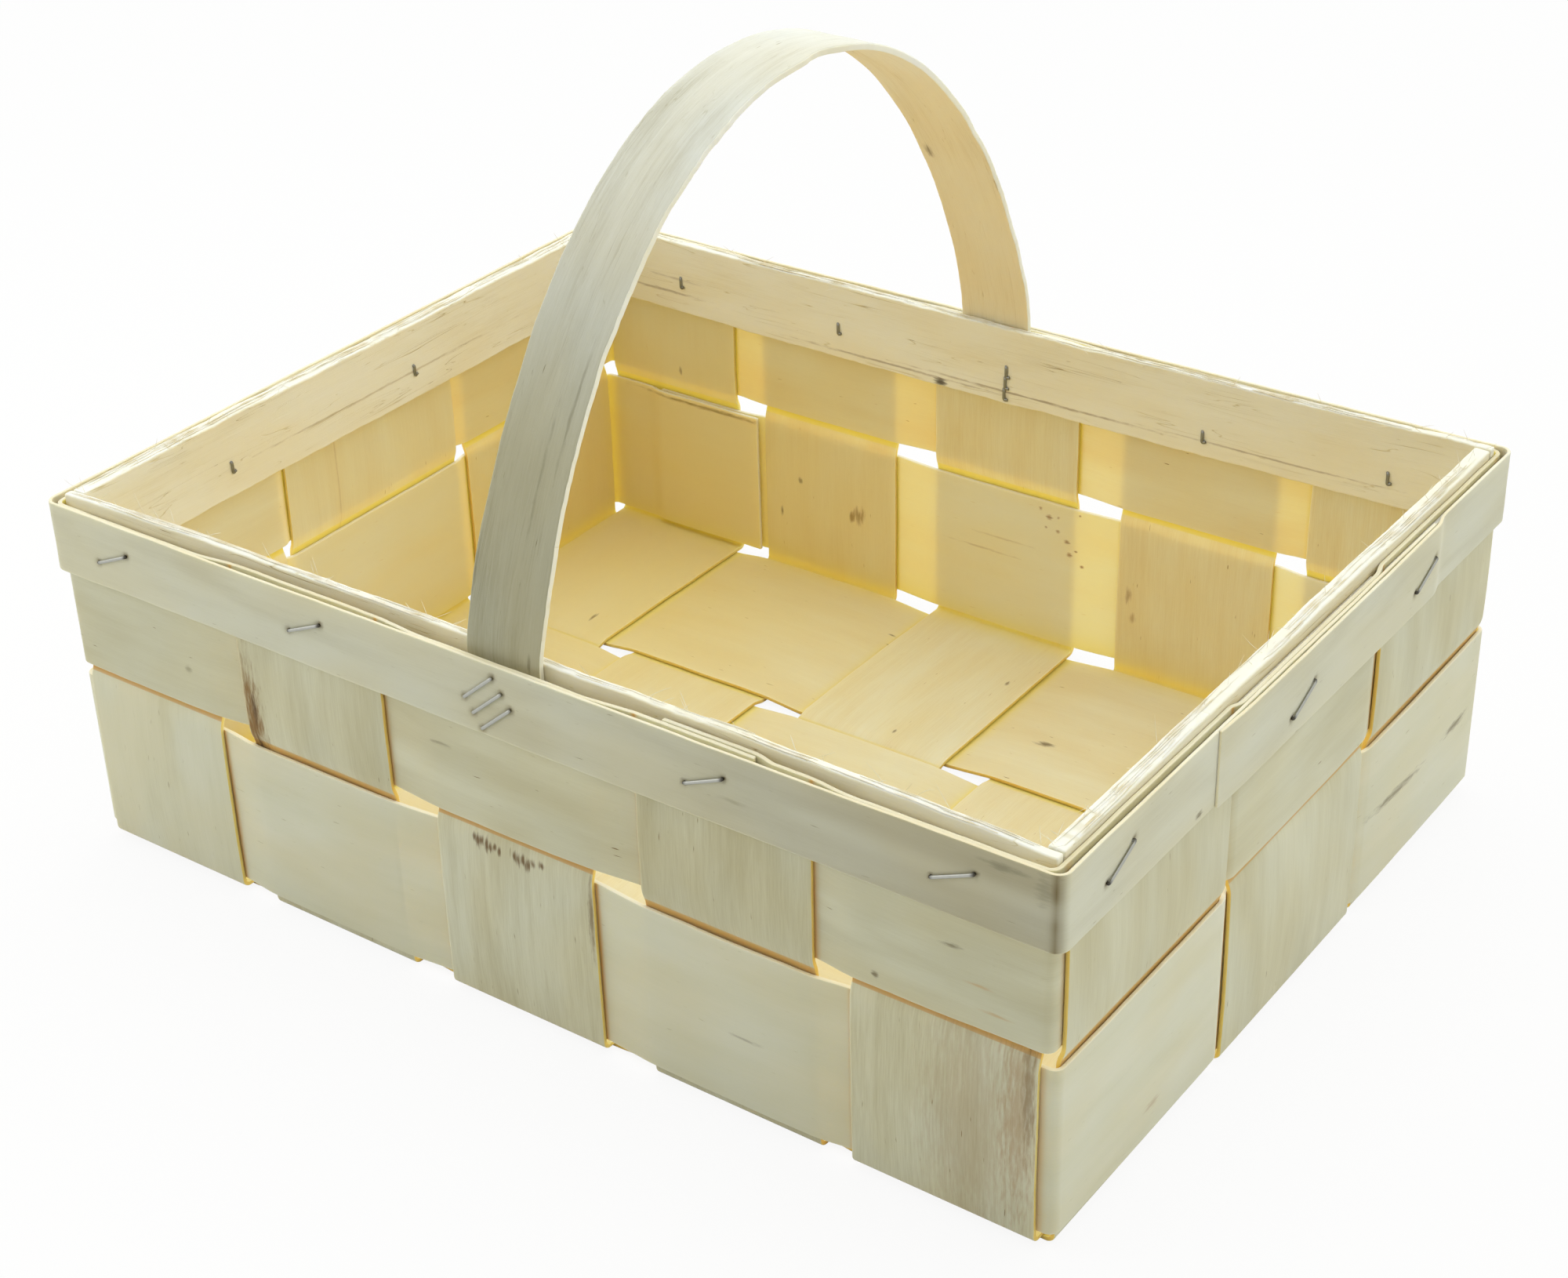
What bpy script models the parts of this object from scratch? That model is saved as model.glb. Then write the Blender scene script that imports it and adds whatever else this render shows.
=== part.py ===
"""Chip-wood basket with a fixed bow handle, in metres, +Z up.

Five cross splints and three long splints of broad wood veneer cross on the floor, fold up at the walls and
stand as uprights. Two veneer weavers run round the walls, over one upright and under the next. At the rim
a thin band runs round outside and four slats lie inside. The feet of the handle stand between the wall and
the long slats, and wire staples pass through the whole rim.

The origin is on the floor's underside, midway between the rim's outer faces. +X runs along the rim's long
side, and the front wall is at -Y.
"""

import math

import bmesh
import bpy
from mathutils import Matrix, Vector
from mathutils.geometry import interpolate_bezier

# Rim
RIM_LENGTH = 0.300
RIM_WIDTH = 0.226
RIM_HEIGHT = 0.102

# Veneer, and the gap that neighbouring pieces keep
VENEER = 0.0010
CLEARANCE = 0.0003
LAYER_STEP = VENEER + CLEARANCE

# Splints: the gaps between them, and the share of the wood that each one has
CROSS_GAPS = (0.0108, 0.0145, 0.0145, 0.0096)
CROSS_WIDTH_SHARES = (0.2, 0.2, 0.2, 0.2, 0.2)
LONG_GAPS = (0.0030, 0.0045)
LONG_WIDTH_SHARES = (0.342, 0.333, 0.325)
SPLINT_CORNER_INSET = 0.0053
SPLINT_TOP_INSET = 0.0020
FOLD_RADIUS = 0.0015

# Weavers: each laps over itself, at these shares of the upright where it starts
WEAVER_SLOT = 0.0038
WEAVER_TOP_INSET = 0.0006
WEAVER_CORNER = 0.0020
LOWER_LAP_SHARES = (0.39, 1.18)
UPPER_LAP_SHARES = (0.32, 0.86)

# Rim band: its lap is on the right wall
BAND_THICKNESS = 0.0009
BAND_HEIGHT = 0.0195
BAND_CORNER = 0.0050
BAND_LAP_SHARES = (-0.58, 0.42)
LAP_RISE = 0.0040

# Slats
SLAT_HEIGHT = 0.0230
SLAT_STAND = 0.0015
LONG_SLAT_THICKNESS = 0.0026
SHORT_SLAT_THICKNESS = 0.0042

# Bow handle: its feet stand a little askew, and its top a little nearer to the back
HANDLE_TOP = 0.2131
HANDLE_WIDTH = 0.0215
HANDLE_THICKNESS = 0.0018
HANDLE_FOOT_INSET = 0.0005
HANDLE_FRONT_X = 0.0003
HANDLE_BACK_X = -0.0024
HANDLE_APEX_SHIFT = 0.0025
FRONT_ARCH_SHARES = (0.11, 0.72)
BACK_ARCH_SHARES = (0.19, 0.68)

# Staples: the places are shares of half the slat's length and of the band's height
STAPLE_WIRE = 0.0009
STAPLE_CROWN = 0.0130
STAPLE_TIP = 0.0026
STAPLE_TIP_SPREAD = 0.0011
CUT_OVERRUN = 0.0003
WALL_STAPLE_SHARES = {
    "back": ((-0.769, 0.52), (-0.367, 0.48), (0.454, 0.31), (0.822, 0.40)),
    "right": ((-0.842, 0.52), (-0.071, 0.38), (0.552, 0.44)),
    "front": ((-0.866, 0.48), (-0.410, 0.55), (0.408, 0.53), (0.846, 0.53)),
    "left": ((-0.523, 0.45), (0.163, 0.45), (0.847, 0.45)),
}
WALL_STAPLE_TILT = math.radians(24)
HANDLE_STAPLE_STEP = 0.0035
HANDLE_STAPLES = {
    "front": {"aside": 0.0024, "run": 0.0024, "height_share": 0.46, "tilt": math.radians(41)},
    "back": {"aside": 0.0039, "run": -0.0003, "height_share": 0.32, "tilt": math.radians(12)},
}
HANDLE_STAPLE_COUNT = 3

# Depths are measured inwards from the outer face of the rim band to the middle of a layer
OUTER_LAYER = BAND_THICKNESS + CLEARANCE + VENEER / 2
INNER_LAYER = OUTER_LAYER + LAYER_STEP
THIRD_LAYER = INNER_LAYER + LAYER_STEP
WALL_FACE = INNER_LAYER + VENEER / 2 + CLEARANCE
BAND_LAYER = BAND_THICKNESS / 2
BAND_LAP_LAYER = BAND_LAYER - BAND_THICKNESS - CLEARANCE
HANDLE_LAYER = WALL_FACE + HANDLE_THICKNESS / 2

# Heights
LOWER_FLOOR = VENEER / 2
UPPER_FLOOR = LOWER_FLOOR + LAYER_STEP
WEAVER_FOOT = UPPER_FLOOR + FOLD_RADIUS + CLEARANCE
WEAVER_WIDTH = (RIM_HEIGHT - WEAVER_TOP_INSET - WEAVER_SLOT - WEAVER_FOOT) / 2
LOWER_WEAVER_TOP = WEAVER_FOOT + WEAVER_WIDTH
UPPER_WEAVER_FOOT = LOWER_WEAVER_TOP + WEAVER_SLOT
BAND_FOOT = RIM_HEIGHT - BAND_HEIGHT
SLAT_TOP = RIM_HEIGHT + SLAT_STAND
SLAT_FOOT = SLAT_TOP - SLAT_HEIGHT

# The slats fill the rim's inside, and the long ones stand off the wall by what lies behind them
LONG_SLAT_HALF = RIM_LENGTH / 2 - WALL_FACE
SHORT_SLAT_HALF = RIM_WIDTH / 2 - WALL_FACE - LONG_SLAT_THICKNESS - CLEARANCE
SLAT_BOW = max(HANDLE_THICKNESS, LAYER_STEP) + CLEARANCE
SLAT_BOW_REACH = LONG_SLAT_HALF - SHORT_SLAT_THICKNESS - CLEARANCE

# Walls, in the clockwise order that the weavers and the band follow
BACK, RIGHT, FRONT, LEFT = range(4)
WALL_NAMES = ("back", "right", "front", "left")
WALL_OUTWARD = (Vector((0, 1)), Vector((1, 0)), Vector((0, -1)), Vector((-1, 0)))
WALL_HALF = (RIM_WIDTH / 2, RIM_LENGTH / 2, RIM_WIDTH / 2, RIM_LENGTH / 2)

# A flat path's own x, y and width, laid along the world's axes
FLAT = Matrix.Identity(4)
CROSSWISE = Matrix(((0, 0, 1, 0), (1, 0, 0, 0), (0, 1, 0, 0), (0, 0, 0, 1)))
LENGTHWISE = Matrix(((1, 0, 0, 0), (0, 0, -1, 0), (0, 1, 0, 0), (0, 0, 0, 1)))

ARC_STEPS = 5
BOW_STEPS = 14
ARCH_STEPS = 14
HOLE_SIDES = 6

VENEER_COLOUR = (0.62, 0.54, 0.36, 1)
WEAVER_COLOUR = (0.60, 0.54, 0.37, 1)
BAND_COLOUR = (0.55, 0.54, 0.42, 1)
SLAT_COLOUR = (0.68, 0.60, 0.42, 1)
HANDLE_COLOUR = (0.60, 0.58, 0.45, 1)
STEEL_COLOUR = (0.33, 0.33, 0.32, 1)


def clear_scene():
    for old in list(bpy.data.objects):
        bpy.data.objects.remove(old, do_unlink=True)


def new_collection(name):
    made = bpy.data.collections.new(name)
    bpy.context.scene.collection.children.link(made)
    return made


def material(name, colour, roughness, metallic):
    made = bpy.data.materials.new(name)
    made.use_nodes = True
    shader = made.node_tree.nodes["Principled BSDF"]
    shader.inputs["Base Color"].default_value = colour
    shader.inputs["Roughness"].default_value = roughness
    shader.inputs["Metallic"].default_value = metallic
    return made


def spans(half_length, gaps, width_shares):
    """Low and high edges of the splints that lie side by side from corner to corner."""
    wood = 2 * (half_length - SPLINT_CORNER_INSET) - sum(gaps)
    edges = []
    low = SPLINT_CORNER_INSET - half_length
    for share, gap in zip(width_shares, (*gaps, 0)):
        high = low + wood * share
        edges.append((low, high))
        low = high + gap
    return edges


CROSS_SPANS = spans(RIM_LENGTH / 2, CROSS_GAPS, CROSS_WIDTH_SHARES)
LONG_SPANS = spans(RIM_WIDTH / 2, LONG_GAPS, LONG_WIDTH_SHARES)


def rounded(corners):
    """Points of a flat path through its corners, each given as its place and its radius."""
    path = []
    for index, (corner, radius) in enumerate(corners):
        if radius == 0:
            path.append(corner)
            continue
        before = (corners[index - 1][0] - corner).normalized()
        after = (corners[index + 1][0] - corner).normalized()
        half_angle = before.angle(after) / 2
        centre = corner + (before + after).normalized() * radius / math.sin(half_angle)
        start = corner + before * radius / math.tan(half_angle) - centre
        turn = math.copysign(math.pi - 2 * half_angle, after.cross(before))
        for step in range(ARC_STEPS + 1):
            path.append(centre + Matrix.Rotation(turn * step / ARC_STEPS, 2) @ start)
    return path


def strip_mesh(name, path, low, high, skew=0):
    """Open strip over a flat path, from the width low to the width high, sheared along its width by skew."""
    shape = bmesh.new()
    ends = [shape.verts.new((x, y, low + skew * x)) for x, y in path]
    edges = [shape.edges.new(pair) for pair in zip(ends, ends[1:])]
    drawn = bmesh.ops.extrude_edge_only(shape, edges=edges)["geom"]
    moved = [item for item in drawn if isinstance(item, bmesh.types.BMVert)]
    bmesh.ops.translate(shape, verts=moved, vec=(0, 0, high - low))
    bmesh.ops.recalc_face_normals(shape, faces=shape.faces)
    mesh = bpy.data.meshes.new(name)
    shape.to_mesh(mesh)
    shape.free()
    return mesh


def ribbon(name, mesh, lie, thickness, finish, basket, holes):
    """Strip of wood of the given thickness about the mesh, laid by the matrix lie, with the staples' holes."""
    piece = bpy.data.objects.new(name, mesh)
    piece.matrix_world = lie
    mesh.materials.append(finish)
    shell = piece.modifiers.new("thickness", "SOLIDIFY")
    shell.thickness = thickness
    shell.offset = 0
    shell.use_even_offset = True
    bore = piece.modifiers.new("staple holes", "BOOLEAN")
    bore.operation = "DIFFERENCE"
    bore.solver = "EXACT"
    bore.operand_type = "COLLECTION"
    bore.collection = holes
    basket.objects.link(piece)


def splint_path(half_span, crossings, outside_at_foot, on_top):
    """Side view of one splint: down one wall, over and under the crossing splints, and up the other wall."""
    foot_depth = OUTER_LAYER if outside_at_foot else INNER_LAYER
    head_depth = INNER_LAYER if outside_at_foot else OUTER_LAYER
    foot = half_span - foot_depth
    head = half_span - head_depth
    heights = [UPPER_FLOOR if top else LOWER_FLOOR for top in on_top]
    wall = (
        (head, RIM_HEIGHT - SPLINT_TOP_INSET),
        (head, UPPER_WEAVER_FOOT - CLEARANCE),
        (foot, LOWER_WEAVER_TOP + CLEARANCE),
    )
    corners = [(Vector((-along, up)), 0) for along, up in wall]
    corners.append((Vector((-foot, heights[0])), FOLD_RADIUS))
    for index in range(len(crossings) - 1):
        corners.append((Vector((crossings[index][1] + CLEARANCE, heights[index])), 0))
        corners.append((Vector((crossings[index + 1][0] - CLEARANCE, heights[index + 1])), 0))
    corners.append((Vector((foot, heights[-1])), FOLD_RADIUS))
    corners.extend((Vector((along, up)), 0) for along, up in reversed(wall))
    return rounded(corners)


def add_cross_splints(basket, holes):
    for column, (low, high) in enumerate(CROSS_SPANS):
        name = f"cross_splint_{column + 1}"
        on_top = [(column + row) % 2 == 0 for row in range(len(LONG_SPANS))]
        path = splint_path(RIM_WIDTH / 2, LONG_SPANS, column % 2 == 0, on_top)
        finish = material(name, VENEER_COLOUR, 0.6, 0)
        ribbon(name, strip_mesh(name, path, low, high), CROSSWISE, VENEER, finish, basket, holes)


def add_long_splints(basket, holes):
    for row, (low, high) in enumerate(LONG_SPANS):
        name = f"long_splint_{row + 1}"
        on_top = [(column + row) % 2 == 1 for column in range(len(CROSS_SPANS))]
        path = splint_path(RIM_LENGTH / 2, CROSS_SPANS, row % 2 == 1, on_top)
        finish = material(name, VENEER_COLOUR, 0.6, 0)
        ribbon(name, strip_mesh(name, path, -high, -low), LENGTHWISE, VENEER, finish, basket, holes)


def wall_place(wall, along, depth):
    """Plan view of a place on a wall: how far along it, clockwise from its middle, and how deep."""
    return WALL_OUTWARD[(wall + 1) % 4] * along + WALL_OUTWARD[wall] * (WALL_HALF[wall] - depth)


def ring_path(stations, corner_radius):
    """Plan view of a strip that runs clockwise through its stations, turning where the wall changes."""
    corners = []
    for index, (wall, along, depth) in enumerate(stations):
        if index and stations[index - 1][0] != wall:
            before = stations[index - 1]
            reach = WALL_HALF[wall] - depth
            corners.append((wall_place(before[0], reach, before[2]), corner_radius))
        corners.append((wall_place(wall, along, depth), 0))
    return rounded(corners)


def wall_uprights(wall):
    """Spans of a wall's uprights in clockwise order, each with whether it stands outside at the foot."""
    if wall in (BACK, FRONT):
        uprights = [(low, high, column % 2 == 0) for column, (low, high) in enumerate(CROSS_SPANS)]
    else:
        uprights = [(low, high, row % 2 == 1) for row, (low, high) in enumerate(LONG_SPANS)]
    if wall in (RIGHT, FRONT):
        uprights = [(-high, -low, outside) for low, high, outside in reversed(uprights)]
    return uprights


def weaver_path(upper, lap_wall, lap_upright, lap_shares):
    """Plan view of one weaver, from its first end, once round the walls, to its last end inside the first."""
    stations = []
    for turn in range(len(WALL_NAMES) + 1):
        wall = (lap_wall + turn) % len(WALL_NAMES)
        uprights = wall_uprights(wall)
        depths = [INNER_LAYER if outside != upper else OUTER_LAYER for _, _, outside in uprights]
        first = lap_upright if turn == 0 else 0
        last = lap_upright if turn == len(WALL_NAMES) else len(uprights) - 1
        for index in range(first, last):
            stations.append((wall, uprights[index][1] + CLEARANCE, depths[index]))
            stations.append((wall, uprights[index + 1][0] - CLEARANCE, depths[index + 1]))
    low, high, _ = wall_uprights(lap_wall)[lap_upright]
    start, end = (low + (high - low) * share for share in lap_shares)
    stations.insert(0, (lap_wall, start, INNER_LAYER))
    stations.append((lap_wall, start - CLEARANCE - LAP_RISE, INNER_LAYER))
    stations.append((lap_wall, start - CLEARANCE, THIRD_LAYER))
    stations.append((lap_wall, end, THIRD_LAYER))
    return ring_path(stations, WEAVER_CORNER)


def add_weavers(basket, holes):
    weavers = (
        ("lower_weaver", False, BACK, 0, LOWER_LAP_SHARES, WEAVER_FOOT),
        ("upper_weaver", True, FRONT, 1, UPPER_LAP_SHARES, UPPER_WEAVER_FOOT),
    )
    for name, upper, lap_wall, lap_upright, lap_shares, foot in weavers:
        path = weaver_path(upper, lap_wall, lap_upright, lap_shares)
        mesh = strip_mesh(name, path, foot, foot + WEAVER_WIDTH)
        ribbon(name, mesh, FLAT, VENEER, material(name, WEAVER_COLOUR, 0.6, 0), basket, holes)


def band_lap():
    """Where the band's two ends lie along the right wall."""
    return [share * RIM_WIDTH / 2 for share in BAND_LAP_SHARES]


def add_rim_band(basket, holes):
    first, last = band_lap()
    stations = [(RIGHT, first, BAND_LAYER)]
    stations.extend((wall, 0, BAND_LAYER) for wall in (FRONT, LEFT, BACK))
    stations.append((RIGHT, first - CLEARANCE - LAP_RISE, BAND_LAYER))
    stations.append((RIGHT, first - CLEARANCE, BAND_LAP_LAYER))
    stations.append((RIGHT, last, BAND_LAP_LAYER))
    mesh = strip_mesh("rim_band", ring_path(stations, BAND_CORNER), BAND_FOOT, RIM_HEIGHT)
    finish = material("rim_band", BAND_COLOUR, 0.55, 0)
    ribbon("rim_band", mesh, FLAT, BAND_THICKNESS, finish, basket, holes)


def slat_bow(along):
    """How far a long slat stands off the wall at a place along it."""
    return SLAT_BOW * (1 - min(abs(along) / SLAT_BOW_REACH, 1) ** 4)


def slat_depths(wall, along):
    """Depths of a slat's outer face and of its inner face."""
    if wall in (BACK, FRONT):
        outer = WALL_FACE + slat_bow(along)
        return outer, outer + LONG_SLAT_THICKNESS
    return WALL_FACE, WALL_FACE + SHORT_SLAT_THICKNESS


def add_slats(basket, holes):
    for wall, side in enumerate(WALL_NAMES):
        name = f"{side}_slat"
        places = [-SHORT_SLAT_HALF, SHORT_SLAT_HALF]
        if wall in (BACK, FRONT):
            bowed = [SLAT_BOW_REACH * (2 * step / BOW_STEPS - 1) for step in range(BOW_STEPS + 1)]
            places = [-LONG_SLAT_HALF, *bowed, LONG_SLAT_HALF]
        path = [wall_place(wall, along, sum(slat_depths(wall, along)) / 2) for along in places]
        outer, inner = slat_depths(wall, 0)
        mesh = strip_mesh(name, path, SLAT_FOOT, SLAT_TOP)
        ribbon(name, mesh, FLAT, inner - outer, material(name, SLAT_COLOUR, 0.6, 0), basket, holes)


def handle_path():
    """Side view of the handle: up from the front foot, over the arch and down to the back foot."""
    foot = RIM_WIDTH / 2 - HANDLE_LAYER
    foot_end = SLAT_FOOT + HANDLE_FOOT_INSET
    apex = Vector((HANDLE_APEX_SHIFT, HANDLE_TOP - HANDLE_THICKNESS / 2))
    path = []
    for side, (spring_share, shoulder_share) in ((-1, FRONT_ARCH_SHARES), (1, BACK_ARCH_SHARES)):
        spring = Vector((side * foot, RIM_HEIGHT))
        rise = Vector((0, (apex.y - spring.y) * spring_share))
        reach = Vector(((spring.x - apex.x) * shoulder_share, 0))
        half = interpolate_bezier(spring, spring + rise, apex + reach, apex, ARCH_STEPS + 1)
        half = [Vector((side * foot, foot_end)), *(point.xy for point in half)]
        path.extend(half if side < 0 else reversed(half[:-1]))
    return path


def add_handle(basket, holes):
    feet_apart = RIM_WIDTH - 2 * HANDLE_LAYER
    skew = (HANDLE_BACK_X - HANDLE_FRONT_X) / feet_apart
    middle = (HANDLE_FRONT_X + HANDLE_BACK_X) / 2
    low = middle - HANDLE_WIDTH / 2
    mesh = strip_mesh("bow_handle", handle_path(), low, low + HANDLE_WIDTH, skew)
    finish = material("bow_handle", HANDLE_COLOUR, 0.5, 0)
    ribbon("bow_handle", mesh, CROSSWISE, HANDLE_THICKNESS, finish, basket, holes)


def staple_places():
    """Name, wall, place along the wall, height and tilt of each staple."""
    places = []
    for wall, side in enumerate(WALL_NAMES):
        half = LONG_SLAT_HALF if wall in (BACK, FRONT) else SHORT_SLAT_HALF
        clockwise = 1 if wall in (BACK, LEFT) else -1
        for number, (along_share, height_share) in enumerate(WALL_STAPLE_SHARES[side]):
            height = BAND_FOOT + BAND_HEIGHT * height_share
            tilt = clockwise * WALL_STAPLE_TILT
            places.append((f"staple_{side}_{number + 1}", wall, clockwise * along_share * half, height, tilt))
        if side not in HANDLE_STAPLES:
            continue
        group = HANDLE_STAPLES[side]
        for number in range(HANDLE_STAPLE_COUNT):
            step = number - (HANDLE_STAPLE_COUNT - 1) / 2
            along = clockwise * (group["run"] * step) + group["aside"]
            height = BAND_FOOT + BAND_HEIGHT * group["height_share"] - HANDLE_STAPLE_STEP * step
            tilt = clockwise * group["tilt"]
            places.append((f"staple_handle_{side}_{number + 1}", wall, along, height, tilt))
    return places


def staple_points(wall, along, height, tilt):
    """A staple's bends: tip, slat face, crown end, crown end, slat face and tip."""
    first, last = band_lap()
    band_face = 0
    if wall == RIGHT and first < along < last:
        band_face = BAND_LAP_LAYER - BAND_LAYER
    wire_reach = CLEARANCE + STAPLE_WIRE / 2
    crown_depth = band_face - wire_reach
    tip_depth = slat_depths(wall, along)[1] + wire_reach
    crown_half = (STAPLE_CROWN - STAPLE_WIRE) / 2

    def point(aside, depth, drop):
        x, y = wall_place(wall, along + aside * math.cos(tilt), depth)
        return Vector((x, y, height + aside * math.sin(tilt) - drop))

    return (
        point(-STAPLE_TIP_SPREAD, tip_depth, STAPLE_TIP),
        point(-STAPLE_TIP_SPREAD, tip_depth, 0),
        point(-crown_half, crown_depth, 0),
        point(crown_half, crown_depth, 0),
        point(STAPLE_TIP_SPREAD, tip_depth, 0),
        point(STAPLE_TIP_SPREAD, tip_depth, STAPLE_TIP),
    )


def add_leg_hole(name, start, end, holes):
    """Cutter along one leg of a staple, past the wood on both sides."""
    shape = bmesh.new()
    radius = STAPLE_WIRE / 2 + CLEARANCE
    length = (end - start).length + 2 * CUT_OVERRUN
    bmesh.ops.create_cone(
        shape, cap_ends=True, segments=HOLE_SIDES, radius1=radius, radius2=radius, depth=length
    )
    mesh = bpy.data.meshes.new(name)
    shape.to_mesh(mesh)
    shape.free()
    cutter = bpy.data.objects.new(name, mesh)
    cutter.location = (start + end) / 2
    cutter.rotation_mode = "QUATERNION"
    cutter.rotation_quaternion = (end - start).to_track_quat("Z", "Y")
    cutter.hide_render = True
    cutter.display_type = "WIRE"
    holes.objects.link(cutter)


def add_staple(name, points, basket):
    curve = bpy.data.curves.new(name, "CURVE")
    curve.dimensions = "3D"
    curve.bevel_depth = STAPLE_WIRE / 2
    curve.bevel_resolution = 1
    curve.use_fill_caps = True
    wire = curve.splines.new("POLY")
    wire.points.add(len(points) - 1)
    for place, point in zip(wire.points, points):
        place.co = (*point, 1)
    curve.materials.append(material(name, STEEL_COLOUR, 0.4, 1))
    basket.objects.link(bpy.data.objects.new(name, curve))


def add_staples(basket, holes):
    for name, wall, along, height, tilt in staple_places():
        points = staple_points(wall, along, height, tilt)
        add_staple(name, points, basket)
        add_leg_hole(f"{name}_low_hole", points[1], points[2], holes)
        add_leg_hole(f"{name}_high_hole", points[4], points[3], holes)


def main():
    clear_scene()
    basket = new_collection("bow_handle_basket")
    holes = new_collection("staple_holes")
    add_staples(basket, holes)
    add_cross_splints(basket, holes)
    add_long_splints(basket, holes)
    add_weavers(basket, holes)
    add_rim_band(basket, holes)
    add_slats(basket, holes)
    add_handle(basket, holes)


main()
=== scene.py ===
# %% [markdown]
# # A chip-wood basket with a bow handle
# The real basket is woven from broad strips of poplar veneer, pressed flat, folded up at the walls, and
# held at the rim by slats, a thin band and wire staples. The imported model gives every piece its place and
# its size. This notebook lays a finely divided strip of wood over each plain solid, so that the wood can
# bulge where it is bent over its neighbours, wave along its cut edges and show its own grain.

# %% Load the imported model
import math
import random

import bpy
from mathutils import Matrix, Vector, noise
from mathutils.geometry import interpolate_bezier


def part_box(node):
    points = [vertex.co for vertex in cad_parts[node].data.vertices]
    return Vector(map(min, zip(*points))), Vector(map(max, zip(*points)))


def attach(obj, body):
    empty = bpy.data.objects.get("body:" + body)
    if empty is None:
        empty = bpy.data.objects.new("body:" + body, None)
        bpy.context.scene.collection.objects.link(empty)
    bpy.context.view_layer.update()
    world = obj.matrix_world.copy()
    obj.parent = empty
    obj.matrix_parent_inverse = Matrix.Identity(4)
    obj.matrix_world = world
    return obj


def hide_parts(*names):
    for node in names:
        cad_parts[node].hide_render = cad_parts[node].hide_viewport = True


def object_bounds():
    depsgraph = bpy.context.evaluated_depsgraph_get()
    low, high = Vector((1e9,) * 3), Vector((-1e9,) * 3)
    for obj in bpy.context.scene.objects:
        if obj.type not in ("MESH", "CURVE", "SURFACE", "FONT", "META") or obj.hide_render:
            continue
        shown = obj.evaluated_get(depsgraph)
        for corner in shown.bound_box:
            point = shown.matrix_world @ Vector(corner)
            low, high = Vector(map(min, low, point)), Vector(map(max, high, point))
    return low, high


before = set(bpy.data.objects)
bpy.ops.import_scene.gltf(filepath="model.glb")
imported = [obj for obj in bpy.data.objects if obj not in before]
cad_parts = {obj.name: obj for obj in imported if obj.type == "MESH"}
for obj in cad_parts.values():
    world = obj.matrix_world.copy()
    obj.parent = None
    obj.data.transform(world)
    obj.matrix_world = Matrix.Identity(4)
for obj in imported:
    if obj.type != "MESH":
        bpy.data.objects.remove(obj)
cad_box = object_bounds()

MM = 0.001
cad_size = [round((high - low) / MM, 1) for low, high in zip(*cad_box)]
print("nodes:", len(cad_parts), "- box in mm:", cad_size)

# %% [markdown]
# ## Real sizes
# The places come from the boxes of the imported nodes. Only what a box can't tell is written here: the
# thickness of the wood, the gap between neighbours, and how deep each layer of the wall lies. Depths are
# measured inwards from the outer face of the rim band to the middle of a layer.

# %% Sizes of the wood
VENEER = 1.0 * MM
CLEARANCE = 0.3 * MM
FULL_VENEER = VENEER + CLEARANCE / 2
LAYER_STEP = VENEER + CLEARANCE
BAND_THICKNESS = 0.9 * MM
LONG_SLAT_THICKNESS = 2.6 * MM
SHORT_SLAT_THICKNESS = 4.2 * MM
HANDLE_THICKNESS = 1.8 * MM

OUTER_LAYER = BAND_THICKNESS + CLEARANCE + VENEER / 2
INNER_LAYER = OUTER_LAYER + LAYER_STEP
THIRD_LAYER = INNER_LAYER + LAYER_STEP
WALL_FACE = INNER_LAYER + VENEER / 2 + CLEARANCE
BAND_LAYER = BAND_THICKNESS / 2
BAND_LAP_LAYER = BAND_LAYER - BAND_THICKNESS - CLEARANCE
HANDLE_LAYER = WALL_FACE + HANDLE_THICKNESS / 2
LOWER_FLOOR = VENEER / 2
UPPER_FLOOR = LOWER_FLOOR + LAYER_STEP

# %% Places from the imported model
CROSS_SPLINTS = [f"cross_splint_{number}" for number in range(1, 6)]
LONG_SPLINTS = [f"long_splint_{number}" for number in range(1, 4)]
CROSS_SPANS = [(low.x, high.x) for low, high in map(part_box, CROSS_SPLINTS)]
LONG_SPANS = [(low.y, high.y) for low, high in map(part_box, LONG_SPLINTS)]
band_low, band_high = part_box("rim_band")
RIM_HALF_LENGTH = -band_low.x
RIM_HALF_WIDTH = -band_low.y
RIM_HEIGHT = band_high.z
BAND_FOOT = band_low.z
SPLINT_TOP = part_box("cross_splint_1")[1].z
WEAVER_FOOT, WEAVER_TOP = (corner.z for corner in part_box("lower_weaver"))
UPPER_WEAVER_FOOT, UPPER_WEAVER_TOP = (corner.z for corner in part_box("upper_weaver"))
SLAT_FOOT, SLAT_TOP = (corner.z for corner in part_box("front_slat"))
HANDLE_LOW, HANDLE_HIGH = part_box("bow_handle")
print("cross splints at", [(round(low / MM), round(high / MM)) for low, high in CROSS_SPANS])
print("long splints at", [(round(low / MM), round(high / MM)) for low, high in LONG_SPANS])

# %% [markdown]
# ## Drawing a path
# Every strip follows a flat path: the side view of a splint, or the plan of a weaver. A path is a list of
# corners, each with the radius it is rounded to. Veneer never turns sharply where it only changes from one
# layer to the next, so those corners get a wide radius, cut down to what the short slope between them
# allows.

# %% Rounded paths
FOLD_RADIUS = 1.9 * MM
EASY_BEND = 45 * MM
ARC_STEPS = 7
REACH_SHARE = 0.46
STRAIGHT = 1e-4
TOUCHING = 1e-7


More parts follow.
